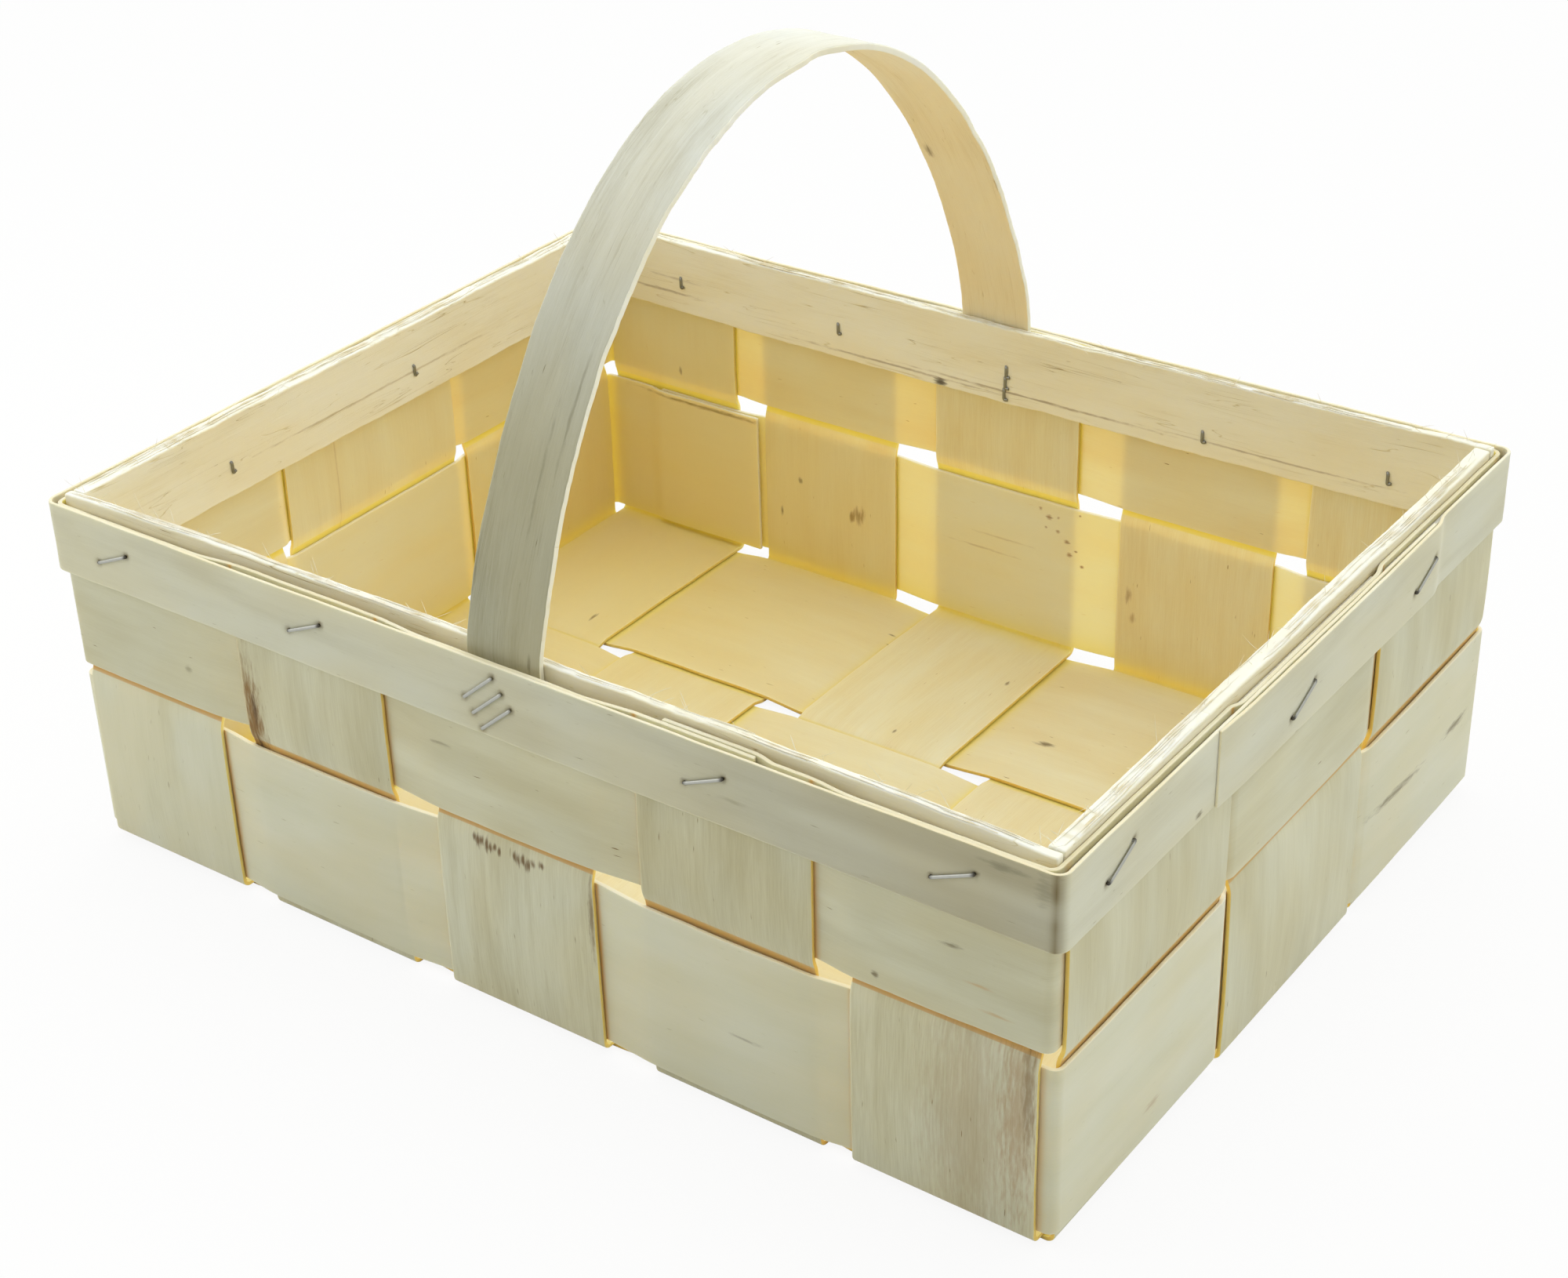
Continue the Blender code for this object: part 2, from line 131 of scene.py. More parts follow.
def rounded(corners):
    """Points of a flat path through its corners, each given as its place and its radius."""
    path = []
    for index, (corner, radius) in enumerate(corners):
        if radius == 0:
            path.append(corner)
            continue
        before = corners[index - 1][0] - corner
        after = corners[index + 1][0] - corner
        room = REACH_SHARE * min(before.length, after.length)
        before.normalize()
        after.normalize()
        half_angle = before.angle(after) / 2
        if math.pi / 2 - half_angle < STRAIGHT:
            path.append(corner)
            continue
        reach = min(radius / math.tan(half_angle), room)
        radius = reach * math.tan(half_angle)
        centre = corner + (before + after).normalized() * radius / math.sin(half_angle)
        start = corner + before * reach - centre
        turn = math.copysign(math.pi - 2 * half_angle, after.cross(before))
        for step in range(ARC_STEPS + 1):
            path.append(centre + Matrix.Rotation(turn * step / ARC_STEPS, 2) @ start)
    return path


def divided(path, longest):
    """The same path with points added, so that no step along it is longer than the longest."""
    fine = [path[0]]
    for start, end in zip(path, path[1:]):
        length = (end - start).length
        if length < TOUCHING:
            continue
        steps = math.ceil(length / longest)
        fine.extend(start.lerp(end, step / steps) for step in range(1, steps + 1))
    return fine


def path_frame(path):
    """How far along each point lies, and the direction square to the path there, on its right."""
    reached = [0.0]
    for start, end in zip(path, path[1:]):
        reached.append(reached[-1] + (end - start).length)
    square = []
    for index in range(len(path)):
        run = path[min(index + 1, len(path) - 1)] - path[max(index - 1, 0)]
        run.normalize()
        square.append(Vector((run.y, -run.x)))
    return reached, square


# %% [markdown]
# ## Growing a strip from a path
# The strip is a grid: rows along the path, columns across the wood. Two small functions shape it. One says
# how far the wood stands off its path at a place, which gives the bulges. The other says where its two long
# edges run, which gives the wavy cut. A Solidify modifier then gives the thickness, and a fine Bevel breaks
# the edges, because a razor-sharp edge never catches the light as real wood does.
#
# A finish can't see where it is on the basket, so the strip tells it. The UV map "grain" holds true metres
# along and across the wood, and every piece has its own lane in it, so that no two pieces share their grain.
# Attributes say how dark and how lively the wood is, where it carries marks and painted glow and shade,
# where it was cut off, how near it is to the back left corner, which gets a painted yellow bounce light,
# and how near to a fold, which gets a painted glow for the light that comes in from behind.

# %% What a strip tells its finish
LANE = 0.25
PIECES = (
    *CROSS_SPLINTS,
    *LONG_SPLINTS,
    "lower_weaver", "upper_weaver", "rim_band",
    "back_slat", "right_slat", "front_slat", "left_slat", "bow_handle",
)
lanes = {node: index * LANE for index, node in enumerate(PIECES)}
# Painted light: a yellow bounce light that fades out from the back left corner, and a glow near the folds
NOOK = 0.70
NOOK_PLACE = Vector((-RIM_HALF_LENGTH + 30 * MM, RIM_HALF_WIDTH - 30 * MM, 5 * MM))
NOOK_REACH = 85 * MM
FOLD = 0.75
FOLD_REACH = 7 * MM


def faded(distance, reach):
    """A soft spot: 1 at its middle, and next to nothing two reaches away."""
    return math.exp(-((distance / reach) ** 2))


def fold_glow(point):
    """The glow of the nearest fold. A fold is where a point is near two of the wall, the other wall and the
    floor at once, so the second smallest of its three depths counts."""
    depths = sorted((RIM_HALF_LENGTH - abs(point.x), RIM_HALF_WIDTH - abs(point.y), point.z))
    return FOLD * faded(depths[1], FOLD_REACH)


# %% Strip of wood
GRID = 2.0 * MM
EDGE_BREAK = 0.28 * MM
EDGE_ANGLE = math.radians(50)
EDGE_STEPS = 2
FLAT = Matrix.Identity(4)
CROSSWISE = Matrix(((0, 0, 1, 0), (1, 0, 0, 0), (0, 1, 0, 0), (0, 0, 0, 1)))
LENGTHWISE = Matrix(((1, 0, 0, 0), (0, 0, -1, 0), (0, 1, 0, 0), (0, 0, 0, 1)))


def add_object(name, data):
    """An object with this name and data, in the scene."""
    made = bpy.data.objects.new(name, data)
    bpy.context.scene.collection.objects.link(made)
    return made


def hand_over(piece, node, finishes):
    """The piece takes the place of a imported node, in its finishes."""
    for finish in finishes:
        piece.data.materials.append(finish)
    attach(piece, "root")
    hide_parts(node)


def thicken(piece, thickness, edge_break):
    """Thickness to both sides of the grid, with the second finish inside and the third on the cut edges."""
    shell = piece.modifiers.new("thickness", "SOLIDIFY")
    shell.thickness = thickness
    shell.offset = 0
    shell.use_even_offset = True
    shell.material_offset = 1
    shell.material_offset_rim = 2
    softened = piece.modifiers.new("broken edges", "BEVEL")
    softened.width = edge_break
    softened.segments = EDGE_STEPS
    softened.limit_method = "ANGLE"
    softened.angle_limit = EDGE_ANGLE
    softened.harden_normals = True


# No marks, and no painted glow or shade
def unmarked(place, along, share):
    return 0.0


def strip(
    node, finishes, path, lie, outward, thickness, edges, lift, look,
    grid=GRID, edge_break=EDGE_BREAK, painted_light_and_marks=unmarked,
):
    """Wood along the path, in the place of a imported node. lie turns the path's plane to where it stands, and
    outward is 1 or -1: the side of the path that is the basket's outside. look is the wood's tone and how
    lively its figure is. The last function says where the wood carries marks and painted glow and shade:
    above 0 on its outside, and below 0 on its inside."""
    reached, square = path_frame(path)
    spans = [edges(place, along) for place, along in zip(path, reached)]
    columns = math.ceil(max(high - low for low, high in spans) / grid)
    places = []
    lengths = []
    painted_light_and_mark_levels = []
    for place, along, side, (low, high) in zip(path, reached, square, spans):
        for column in range(columns + 1):
            share = column / columns
            across = low + (high - low) * share
            x, y = place + side * outward * lift(place, along, share)
            places.append(lie @ Vector((x, y, across)))
            lengths.append((along, lanes[node] + across))
            painted_light_and_mark_levels.append(painted_light_and_marks(place, along, share))
    faces = []
    width = columns + 1
    for row in range(len(path) - 1):
        for first in range(row * width, row * width + columns):
            face = (first, first + width, first + width + 1, first + 1)
            faces.append(face if outward > 0 else face[::-1])
    mesh = bpy.data.meshes.new(f"{node}_wood")
    mesh.from_pydata(places, [], faces)
    grain = mesh.uv_layers.new(name="grain")
    corners = [0] * len(mesh.loops)
    mesh.loops.foreach_get("vertex_index", corners)
    grain.uv.foreach_set("vector", [value for corner in corners for value in lengths[corner]])
    facts = {
        "tone": [look[0]] * len(places),
        "figure": [look[1]] * len(places),
        "painted_light_and_marks": painted_light_and_mark_levels,
        "end": [float(index < width or index >= len(places) - width) for index in range(len(places))],
        "nook": [NOOK * faded((point - NOOK_PLACE).length, NOOK_REACH) for point in places],
        "fold": [fold_glow(point) for point in places],
    }
    for kind, values in facts.items():
        mesh.attributes.new(kind, "FLOAT", "POINT").data.foreach_set("value", values)
    mesh.shade_smooth()
    piece = add_object(f"{node}_wood", mesh)
    thicken(piece, thickness, edge_break)
    hand_over(piece, node, finishes)
    print(node, "has", len(places), "points")


# %% [markdown]
# ## Cut edges that wave, faces that ripple
# The strips are peeled from a turning log and slit with knives, so that their edges run nearly straight, yet
# follow the fibres a little. Three sizes of noise are added up: a slow drift, a wave, and a fine fray. The
# faces are uneven too, and where one strip dives under another, the seam gets a painted glow and shade for
# the light from behind.

# %% Wavy edges and uneven faces
DRIFT = (0.45 * MM, 75 * MM)
WAVE = (0.16 * MM, 13 * MM)
FRAY = (0.07 * MM, 2.6 * MM)
RIPPLE_LENGTH = 38 * MM
RIPPLES_ACROSS = 2.3
# These only keep the noise of one seed clear of that of the next
EDGE_SHIFTS = (7.3, 31.7)
RIPPLE_SHIFT = 3.1
OTHER_EDGE = 50


def noise_at(x, y, z):
    """Smooth noise between about -1 and 1."""
    return noise.noise(Vector((x, y, z)))


def wander(along, seed, rough=1.0):
    """How far a cut edge strays from its straight line at a place along it."""
    stray = 0.0
    for index, (size, length) in enumerate((DRIFT, WAVE, FRAY)):
        gain = rough if index else 1.0
        stray += gain * size * noise_at(along / length, seed * EDGE_SHIFTS[0] + index * EDGE_SHIFTS[1], seed)
    return stray


def wavy(low, high, seed, rough=1.0):
    """Edges for a strip between low and high."""

    def edges(place, along):
        return low + wander(along, seed, rough), high + wander(along, seed + OTHER_EDGE, rough)

    return edges


def ripple(along, share, seed, size):
    """A slow unevenness of the wood's face."""
    return size * noise_at(along / RIPPLE_LENGTH, share * RIPPLES_ACROSS, seed * RIPPLE_SHIFT)


def seam(value, lines, reach):
    """How strongly a place shows the glow of the nearest seam. Each seam has a sign: 1 where it is seen from
    outside, and -1 where it is seen from inside."""
    line, sign = min(lines, key=lambda candidate: abs(value - candidate[0]))
    return sign * faded(value - line, reach)


def bulge(share):
    """A round rise from 0 at both ends to 1 in the middle."""
    return math.sin(math.pi * min(max(share, 0.0), 1.0))


# %% [markdown]
# ## Light on wood: colours and nodes
# Colours are read as the eye sees them, as sRGB hex, and turned to linear by one function. One small
# function adds a node. Its inputs are values, or the nodes and sockets that feed it, and its settings come
# by name.

# %% Colour and node helpers
# The Mix node has its sockets for colours behind those for numbers and vectors
MIX_A = 6
MIX_B = 7
MIX_RESULT = 2


def linear(code):
    """An sRGB hex colour as linear red, green, blue and alpha."""
    levels = [int(code[start:start + 2], 16) / 255 for start in (1, 3, 5)]
    levels = [level / 12.92 if level <= 0.04045 else ((level + 0.055) / 1.055) ** 2.4 for level in levels]
    return (*levels, 1)


def feed(tree, node, inputs):
    """Gives each input its value, or links it to the socket or the node that feeds it."""
    for socket, given in inputs.items():
        if isinstance(given, bpy.types.Node):
            given = given.outputs[0]
        if isinstance(given, bpy.types.NodeSocket):
            tree.links.new(given, node.inputs[socket])
        else:
            node.inputs[socket].default_value = given


def add_node(tree, kind, inputs=None, **settings):
    """Adds one node with its settings and its inputs."""
    made = tree.nodes.new(f"ShaderNode{kind}")
    for name, value in settings.items():
        setattr(made, name, value)
    feed(tree, made, inputs or {})
    return made


def lay_colours(ramp, stops):
    """Lays colours along a ramp, each at its place, from the first to the last."""
    elements = ramp.color_ramp.elements
    for place, _ in stops[1:-1]:
        elements.new(place)
    for element, (place, code) in zip(elements, stops):
        element.position = place
        element.color = linear(code)


def new_finish(name):
    """A new material, its nodes and its shader."""
    made = bpy.data.materials.new(name)
    made.use_nodes = True
    return made, made.node_tree, made.node_tree.nodes["Principled BSDF"]


# %% [markdown]
# ## Poplar veneer
# Poplar is a pale, even wood. Peeled veneer shows fine fibres drawn out along the strip, broader and softer
# streaks, a faint cloudiness, and now and then a short dark fleck. The grain is noise stretched along the
# strip, at its real width in millimetres. The wood is thin enough for light to shine through it in a warm
# tone, which the shader's subsurface scattering gives, with red going deepest. One ramp turns the sum of the
# patterns into colour, from the palest early wood to the flecks.

# %% Sizes of the grain
# Each pattern: its length along the grain and its width across it, in mm, then its share of the sum
CLOUDS = (60, 14, 0.45)
STREAKS = (45, 1.9, 0.30)
FIBRES = (9, 0.36, 0.38)
FLECK_SIZE = (6.0, 0.7)
BLUSH_SIZE = (45, 22)
CRACK_SIZE = (60, 2.6)
CRACK_PATCH_SIZE = (38, 6)
RAGGED_SIZE = (5.0, 0.8)
NOISE_ROUGHNESS = 0.6
# How much fine detail a noise has, and how far its lines are bent
FINE = 3.0
SOFT = 2.0
BROAD = 1.0
CRACK_DETAIL = 1.5
CRACK_WAVER = 0.6
CLOUD_WAVER = 0.2


def stretched_noise(tree, grain, length, width, detail, distortion=0.0):
    """Noise drawn out along the grain, with its length and width in mm."""
    scale = (1 / (length * MM), 1 / (width * MM), 1)
    stretch = add_node(tree, "VectorMath", {0: grain, 1: scale}, operation="MULTIPLY")
    inputs = {"Vector": stretch, "Scale": 1.0, "Detail": detail, "Roughness": NOISE_ROUGHNESS}
    inputs["Distortion"] = distortion
    return add_node(tree, "TexNoise", inputs, noise_dimensions="2D").outputs["Fac"]


def weighed(tree, pattern, share, total):
    """The pattern about its middle, times its share, added to a running total."""
    centred = add_node(tree, "Math", {0: pattern, 1: 0.5}, operation="SUBTRACT")
    return add_node(tree, "Math", {0: centred, 1: share, 2: total}, operation="MULTIPLY_ADD")


# %% Cracks, blush and marks
# Two numbers are the levels of a noise, or the distances, between which a pattern sets in
CRACK_LINE = (0.012, 0.0)
CRACK_PATCH = (0.48, 0.60)
FLECKS_FROM = 0.79
FLECKS_FULL = 0.88
FLECK_DARKNESS = 0.4
BLUSH_LEVELS = (0.35, 0.65)
BLUSH = 0.35
WARM_TINT = "#FCF2D8"
MARK_FADE = (1.9, 0.9)
MARK_TEAR = 1.6


def cracked(tree, grain, share, total):
    """Long thin cracks, where a slow noise passes its middle, in some places only, added to a total."""
    level = stretched_noise(tree, grain, *CRACK_SIZE, CRACK_DETAIL, CRACK_WAVER)
    centred = add_node(tree, "Math", {0: level, 1: 0.5}, operation="SUBTRACT")
    away = add_node(tree, "Math", {0: centred}, operation="ABSOLUTE")
    inputs = {"Value": away, "From Min": CRACK_LINE[0], "From Max": CRACK_LINE[1], "To Max": share}
    line = add_node(tree, "MapRange", inputs, interpolation_type="SMOOTHSTEP")
    places = stretched_noise(tree, grain, *CRACK_PATCH_SIZE, BROAD)
    inputs = {"Value": places, "From Min": CRACK_PATCH[0], "From Max": CRACK_PATCH[1]}
    patch = add_node(tree, "MapRange", inputs, interpolation_type="SMOOTHSTEP")
    return add_node(tree, "Math", {0: line, 1: patch, 2: total}, operation="MULTIPLY_ADD", use_clamp=True)


def blended(tree, colour, over, share, blend="MIX"):
    """A colour with another laid over it, by a share that may change from place to place."""
    inputs = {"Factor": share, MIX_A: colour, MIX_B: linear(over)}
    return add_node(tree, "Mix", inputs, data_type="RGBA", blend_type=blend).outputs[MIX_RESULT]


def blushed(tree, grain, colour):
    """The colour with a warm tint, in broad soft patches."""
    level = stretched_noise(tree, grain, *BLUSH_SIZE, BROAD)
    inputs = {"Value": level, "From Min": BLUSH_LEVELS[0], "From Max": BLUSH_LEVELS[1], "To Max": BLUSH}
    return blended(tree, colour, WARM_TINT, add_node(tree, "MapRange", inputs), "MULTIPLY")


def marked(tree, grain, colour, marks):
    """The colour with the marks of every node on it, each an ellipse that noise tears ragged."""
    ragged = stretched_noise(tree, grain, *RAGGED_SIZE, FINE)
    for node, spots in marks.items():
        for along, across, half_length, half_width, code, strength in spots:
            middle = (along * MM, lanes[node] + across * MM, 0)
            inputs = {"Vector": grain, "Location": middle, "Scale": (half_length * MM, half_width * MM, 1)}
            spot = add_node(tree, "Mapping", inputs, vector_type="TEXTURE")
            far = add_node(tree, "VectorMath", {0: spot}, operation="LENGTH").outputs["Value"]
            torn = add_node(tree, "Math", {0: ragged, 1: MARK_TEAR, 2: far}, operation="MULTIPLY_ADD")
            inputs = {"Value": torn, "From Min": MARK_FADE[0], "From Max": MARK_FADE[1], "To Max": strength}
            mask = add_node(tree, "MapRange", inputs, interpolation_type="SMOOTHSTEP")
            colour = blended(tree, colour, code, mask)
    return colour


# %% Wood finish
WOOD_IOR = 1.5
WOOD_ROUGHNESS = 0.62
WOOD_RADIUS = (1.0, 0.97, 0.83)
INSIDE_DEPTH = 2.0 * MM
OUTSIDE_DEPTH = 1.1 * MM
EDGE_DEPTH = 4.0 * MM
CUT_DEPTH = 1.4 * MM
SAWN_DEPTH = 0.5 * MM
BUMP_STRENGTH = 0.6
# Where on the sum of the patterns the four colours lie
COLOUR_PLACES = (0.12, 0.45, 0.80, 1.0)


def wood(name, colours, depth=OUTSIDE_DEPTH, relief=0.10, cracks=0.0, waver=0.25, tints=(), marks=None):
    """Bare peeled or sawn poplar in four colours, from its palest grain to its flecks. depth is how far
    light goes into it, relief how deep its grain is in mm, cracks how dark the cracks are, and waver how far
    its fibres stray. Each tint is the name of a value that the strip carries, the sign with which it counts
    here, a colour and how it is laid on."""
    made, tree, shader = new_finish(name)
    grain = add_node(tree, "UVMap", uv_map="grain").outputs["UV"]
    tone = add_node(tree, "Attribute", attribute_name="tone").outputs["Fac"]
    figure = add_node(tree, "Attribute", attribute_name="figure").outputs["Fac"]
    drawn = 0.0
    for length, width, share in (STREAKS, FIBRES):
        drawn = weighed(tree, stretched_noise(tree, grain, length, width, FINE, waver), share, drawn)
    length, width, share = CLOUDS
    clouds = weighed(tree, stretched_noise(tree, grain, length, width, SOFT, CLOUD_WAVER), share, tone)
    total = add_node(tree, "Math", {0: drawn, 1: figure, 2: clouds}, operation="MULTIPLY_ADD")
    dashes = stretched_noise(tree, grain, *FLECK_SIZE, BROAD)
    inputs = {"Value": dashes, "From Min": FLECKS_FROM, "From Max": FLECKS_FULL, "To Max": FLECK_DARKNESS}
    flecks = add_node(tree, "MapRange", inputs, interpolation_type="SMOOTHSTEP")
    total = add_node(tree, "Math", {0: total, 1: flecks}, operation="ADD", use_clamp=True)
    if cracks:
        total = cracked(tree, grain, cracks, total)
    ramp = add_node(tree, "ValToRGB", {"Fac": total})
    lay_colours(ramp, list(zip(COLOUR_PLACES, colours)))
    colour = blushed(tree, grain, ramp.outputs["Color"])
    for carried, sign, code, blend in tints:
        told = add_node(tree, "Attribute", attribute_name=carried).outputs["Fac"]
        here = add_node(tree, "Math", {0: told, 1: sign}, operation="MULTIPLY", use_clamp=True)
        colour = blended(tree, colour, code, here, blend)
    if marks:
        colour = marked(tree, grain, colour, marks)
    inputs = {"Height": total, "Strength": BUMP_STRENGTH, "Distance": relief * MM}
    bumps = add_node(tree, "Bump", inputs, invert=True)
    feed(tree, shader, {"Base Color": colour, "Normal": bumps, "Roughness": WOOD_ROUGHNESS, "IOR": WOOD_IOR})
    scattering = {"Subsurface Weight": 1.0, "Subsurface Radius": WOOD_RADIUS, "Subsurface Scale": depth}
    feed(tree, shader, scattering)
    print("finish", name, "with", len(tree.nodes), "nodes")
    return made


# %% [markdown]
# ## Marks in the wood
# Bark, knots, cracks and small blots make each strip one real piece of a tree, and a few marks are painted
# shade. Each mark is an ellipse along the grain, torn ragged by noise, at a place measured on the strip: how
# far along it, how far across it, half its length and half its width, all in mm, then its colour and how
# strongly it shows. Fine pin marks, such as fall anywhere on such wood, are thrown on the inside of the
# splints by seeded dice.

# %% Marks outside
BARK = "#3C270C"
BROWN = "#6E4C14"
TICK = "#5F4C22"
# A brown for stain patches, which also carries painted shade
STAIN_AND_PAINTED_SHADE = "#B08A5A"
BARK_FLECKS = (
    (50.2, -11.6, 1.5, 0.9), (50.8, -10.4, 2.2, 0.8), (50.4, -9.3, 1.6, 1.0), (51.0, -7.9, 2.4, 0.8),
    (51.4, -6.6, 1.8, 1.1), (50.8, -5.2, 1.3, 0.7), (51.6, -3.8, 1.5, 0.6), (51.0, 0.6, 1.6, 0.8),
    (51.8, 2.0, 2.4, 1.0), (51.2, 3.4, 1.7, 0.9), (52.0, 5.0, 2.2, 1.2), (51.3, 6.6, 1.5, 0.8),
    (50.8, 9.2, 1.2, 1.3),
)
OUTSIDE_MARKS = {
    "cross_splint_2": (
        (44, -83.8, 24, 4.6, "#8A6222", 0.9), (38, -82.6, 6, 1.2, BARK, 0.55),
        (50, -83.4, 6, 1.0, BARK, 0.6),
    ),
    "cross_splint_3": (
        *((*fleck, BROWN, 0.85) for fleck in BARK_FLECKS),
        (60, 23.8, 14, 1.0, BROWN, 0.6),
    ),
    # The brown patches low on cross splint 5, near the front right corner, are partly stain and partly painted
    # shade
    "cross_splint_5": (
        (64, 140.5, 34, 6, STAIN_AND_PAINTED_SHADE, 0.45), (72, 128, 44, 15, STAIN_AND_PAINTED_SHADE, 0.25),
        (58, 142.5, 20, 2.0, BROWN, 0.35),
    ),
    "lower_weaver": (
        (326, 28, 17, 1.5, TICK, 0.6), (290, 29, 9, 1.6, TICK, 0.65),
        (452.7, 13.6, 4.0, 1.6, "#B0936A", 0.45), (572.9, 25, 5, 0.6, TICK, 0.35),
    ),
    "upper_weaver": (
        (979, 74.2, 3.4, 0.7, TICK, 0.6), (972, 66.5, 5.0, 0.5, "#C9A468", 0.5),
        (968, 60.5, 5.0, 0.5, "#C9A468", 0.5), (998.7, 58.3, 1.2, 0.9, TICK, 0.7),
        (177, 66.2, 1.6, 1.5, "#98916E", 0.6), (91.5, 74, 3.6, 0.6, TICK, 0.4),
    ),
}

# %% Pin marks and specks inside
PIN_ROUNDS = 3
PIN_ALONG = (110, 370)
PIN_ASIDE = 20
PIN_HALF_LENGTHS = (1.2, 3.0)
PIN_HALF_WIDTHS = (0.4, 0.8)
PIN_STRENGTH = 0.7
# The middle of each splint across, in mm, with x for the cross splints and -y for the long ones
SPLINT_MIDDLES = dict(zip((*CROSS_SPLINTS, *LONG_SPLINTS), (-120, -62, 0, 63, 120, 72, 0, -74)))
SPECKLE = "#8A5E1C"
SPECKLE_LENGTH = 0.6
SPECKLE_WIDTH = 0.45
SPECKLES = (
    (139, 47.5, 1.5), (142, 45.5, 2.1), (145, 46.0, 1.2), (141, 42.0, 1.0), (145, 41.5, 1.6),
    (148, 39.0, 1.9), (151, 36.5, 1.1), (149, 35.0, 1.8), (153, 32.0, 1.3), (152, 48.5, 0.9),
)
LOWER_WEAVER_END = 1075

dice = random.Random(9)
pin_marks = {node: [] for node in SPLINT_MIDDLES}
for _ in range(PIN_ROUNDS):
    for node, middle in SPLINT_MIDDLES.items():
        place = (dice.uniform(*PIN_ALONG), middle + dice.uniform(-PIN_ASIDE, PIN_ASIDE))
        size = (dice.uniform(*PIN_HALF_LENGTHS), dice.uniform(*PIN_HALF_WIDTHS))
        pin_marks[node].append((*place, *size, TICK, PIN_STRENGTH))

# %% Marks inside and on the other pieces
INSIDE_MARKS = {
    "cross_splint_1": (
        *pin_marks["cross_splint_1"],
        (377, -117.8, 1.6, 0.9, TICK, 0.5), (258, -108.2, 3.0, 0.7, TICK, 0.7),
    ),
    "cross_splint_2": (
        (345, -51, 3.4, 2.8, "#84621F", 0.6), (344, -53.2, 2.2, 1.4, "#84621F", 0.6),
        *pin_marks["cross_splint_2"],
        (351, -72.4, 1.2, 0.9, TICK, 0.6),
    ),
    "cross_splint_3": pin_marks["cross_splint_3"],
    "cross_splint_4": (
        (346, 42.8, 3.2, 1.3, SPECKLE, 0.5), (339, 44.5, 2.4, 1.0, SPECKLE, 0.45),
        *pin_marks["cross_splint_4"],
    ),
    "cross_splint_5": pin_marks["cross_splint_5"],
    "long_splint_1": pin_marks["long_splint_1"],
    "long_splint_2": (*pin_marks["long_splint_2"], (32, 14.2, 26, 0.4, "#C8AA6C", 0.35)),
    "long_splint_3": (
        *pin_marks["long_splint_3"],
        (290, -62.0, 3.4, 1.5, "#57451F", 0.8), (250, -75.0, 2.0, 0.7, TICK, 0.6),
    ),
    "lower_weaver": (
        *(
            (along, across, size * SPECKLE_LENGTH, size * SPECKLE_WIDTH, SPECKLE, 0.7)
            for along, across, size in SPECKLES
        ),
        (120, 29, 14, 0.5, "#B99C5C", 0.4), (126, 34, 10, 0.5, "#B99C5C", 0.35),
        # A painted shadow: a thin dark line along the top of the lower weaver where its lap lies behind it
        (LOWER_WEAVER_END - 24, 48.8, 34, 0.8, "#8F7D43", 0.7),
    ),
}
BAND_MARKS = {
    "rim_band": (
        (190, 99.5, 7, 1.2, "#8A856C", 0.6), (181, 97.5, 2.2, 5, "#928D74", 0.45),
        (120, 84.5, 1.8, 1.0, TICK, 0.7), (259, 90.2, 5, 0.6, "#A8A283", 0.5),
    ),
}
SLAT_MARKS = {
    "back_slat": (
        (24, 86.8, 20, 0.6, BROWN, 0.45), (30, 91.5, 12, 0.5, BROWN, 0.3),
        (127.5, 81.8, 2.6, 1.5, "#463A25", 0.9), (158, 84.3, 50, 0.5, "#7A5A26", 0.55),
        (232, 85.2, 40, 0.4, "#7A5A26", 0.45), (110, 83.0, 40, 0.5, "#7A5A26", 0.5),
    ),
    "left_slat": ((110, 89.0, 60, 0.5, "#B5A37C", 0.5),),
}
HANDLE_OUTSIDE_MARKS = {
    "bow_handle": (
        (80, 7, 20, 0.6, "#7C7557", 0.4), (66, 3, 22, 0.5, "#7C7557", 0.35),
        (40, -10, 12, 0.5, "#7C7557", 0.4), (22, 8, 3.0, 0.7, "#6E6444", 0.5),
    ),
}
HANDLE_INSIDE_MARKS = {
    "bow_handle": ((291.6, -10.0, 3.2, 1.2, "#7A6334", 0.75), (300.5, 8.6, 4.0, 0.7, "#98804A", 0.6)),
}
all_marks = (OUTSIDE_MARKS, INSIDE_MARKS, BAND_MARKS, SLAT_MARKS, HANDLE_OUTSIDE_MARKS, HANDLE_INSIDE_MARKS)
print("marks:", sum(len(spots) for marks in all_marks for spots in marks.values()))

# %% [markdown]
# ## Finishes of the wood
# Peeled veneer is drawn greyer outside and warmer inside, and the warmth inside is the wood's own colour
# with a painted glow of the light through the thin wood. Its slit edges glow where light comes up between
# the fibres, so that the splints' edges get a deep scattering and golden colours, which are partly painted
# glow. The slats and the handle are sawn, with deeper grain, fine cracks and less light in them. Painted glow
# and shade at the seams and folds, painted bounce light in the back left corner, the band's darker marks and
# painted shade, and painted shade on the handle's legs are tints on top, at the places that each strip tells.

# %% Colours: the palest grain, the body, the dark grain and the flecks
OUTSIDE_COLOURS = ("#E8E6D1", "#DDDCC3", "#C5C09F", "#8F7C56")
# The inside colours are warmer and paler than the outside ones: partly painted glow of the light through the
# wood
INSIDE_COLOURS = ("#FAF2D6", "#F7EBC6", "#EBD9A8", "#A07C42")
CUT_COLOURS = ("#F4F0DB", "#EEE8CE", "#DCD1AA", "#A8803F")
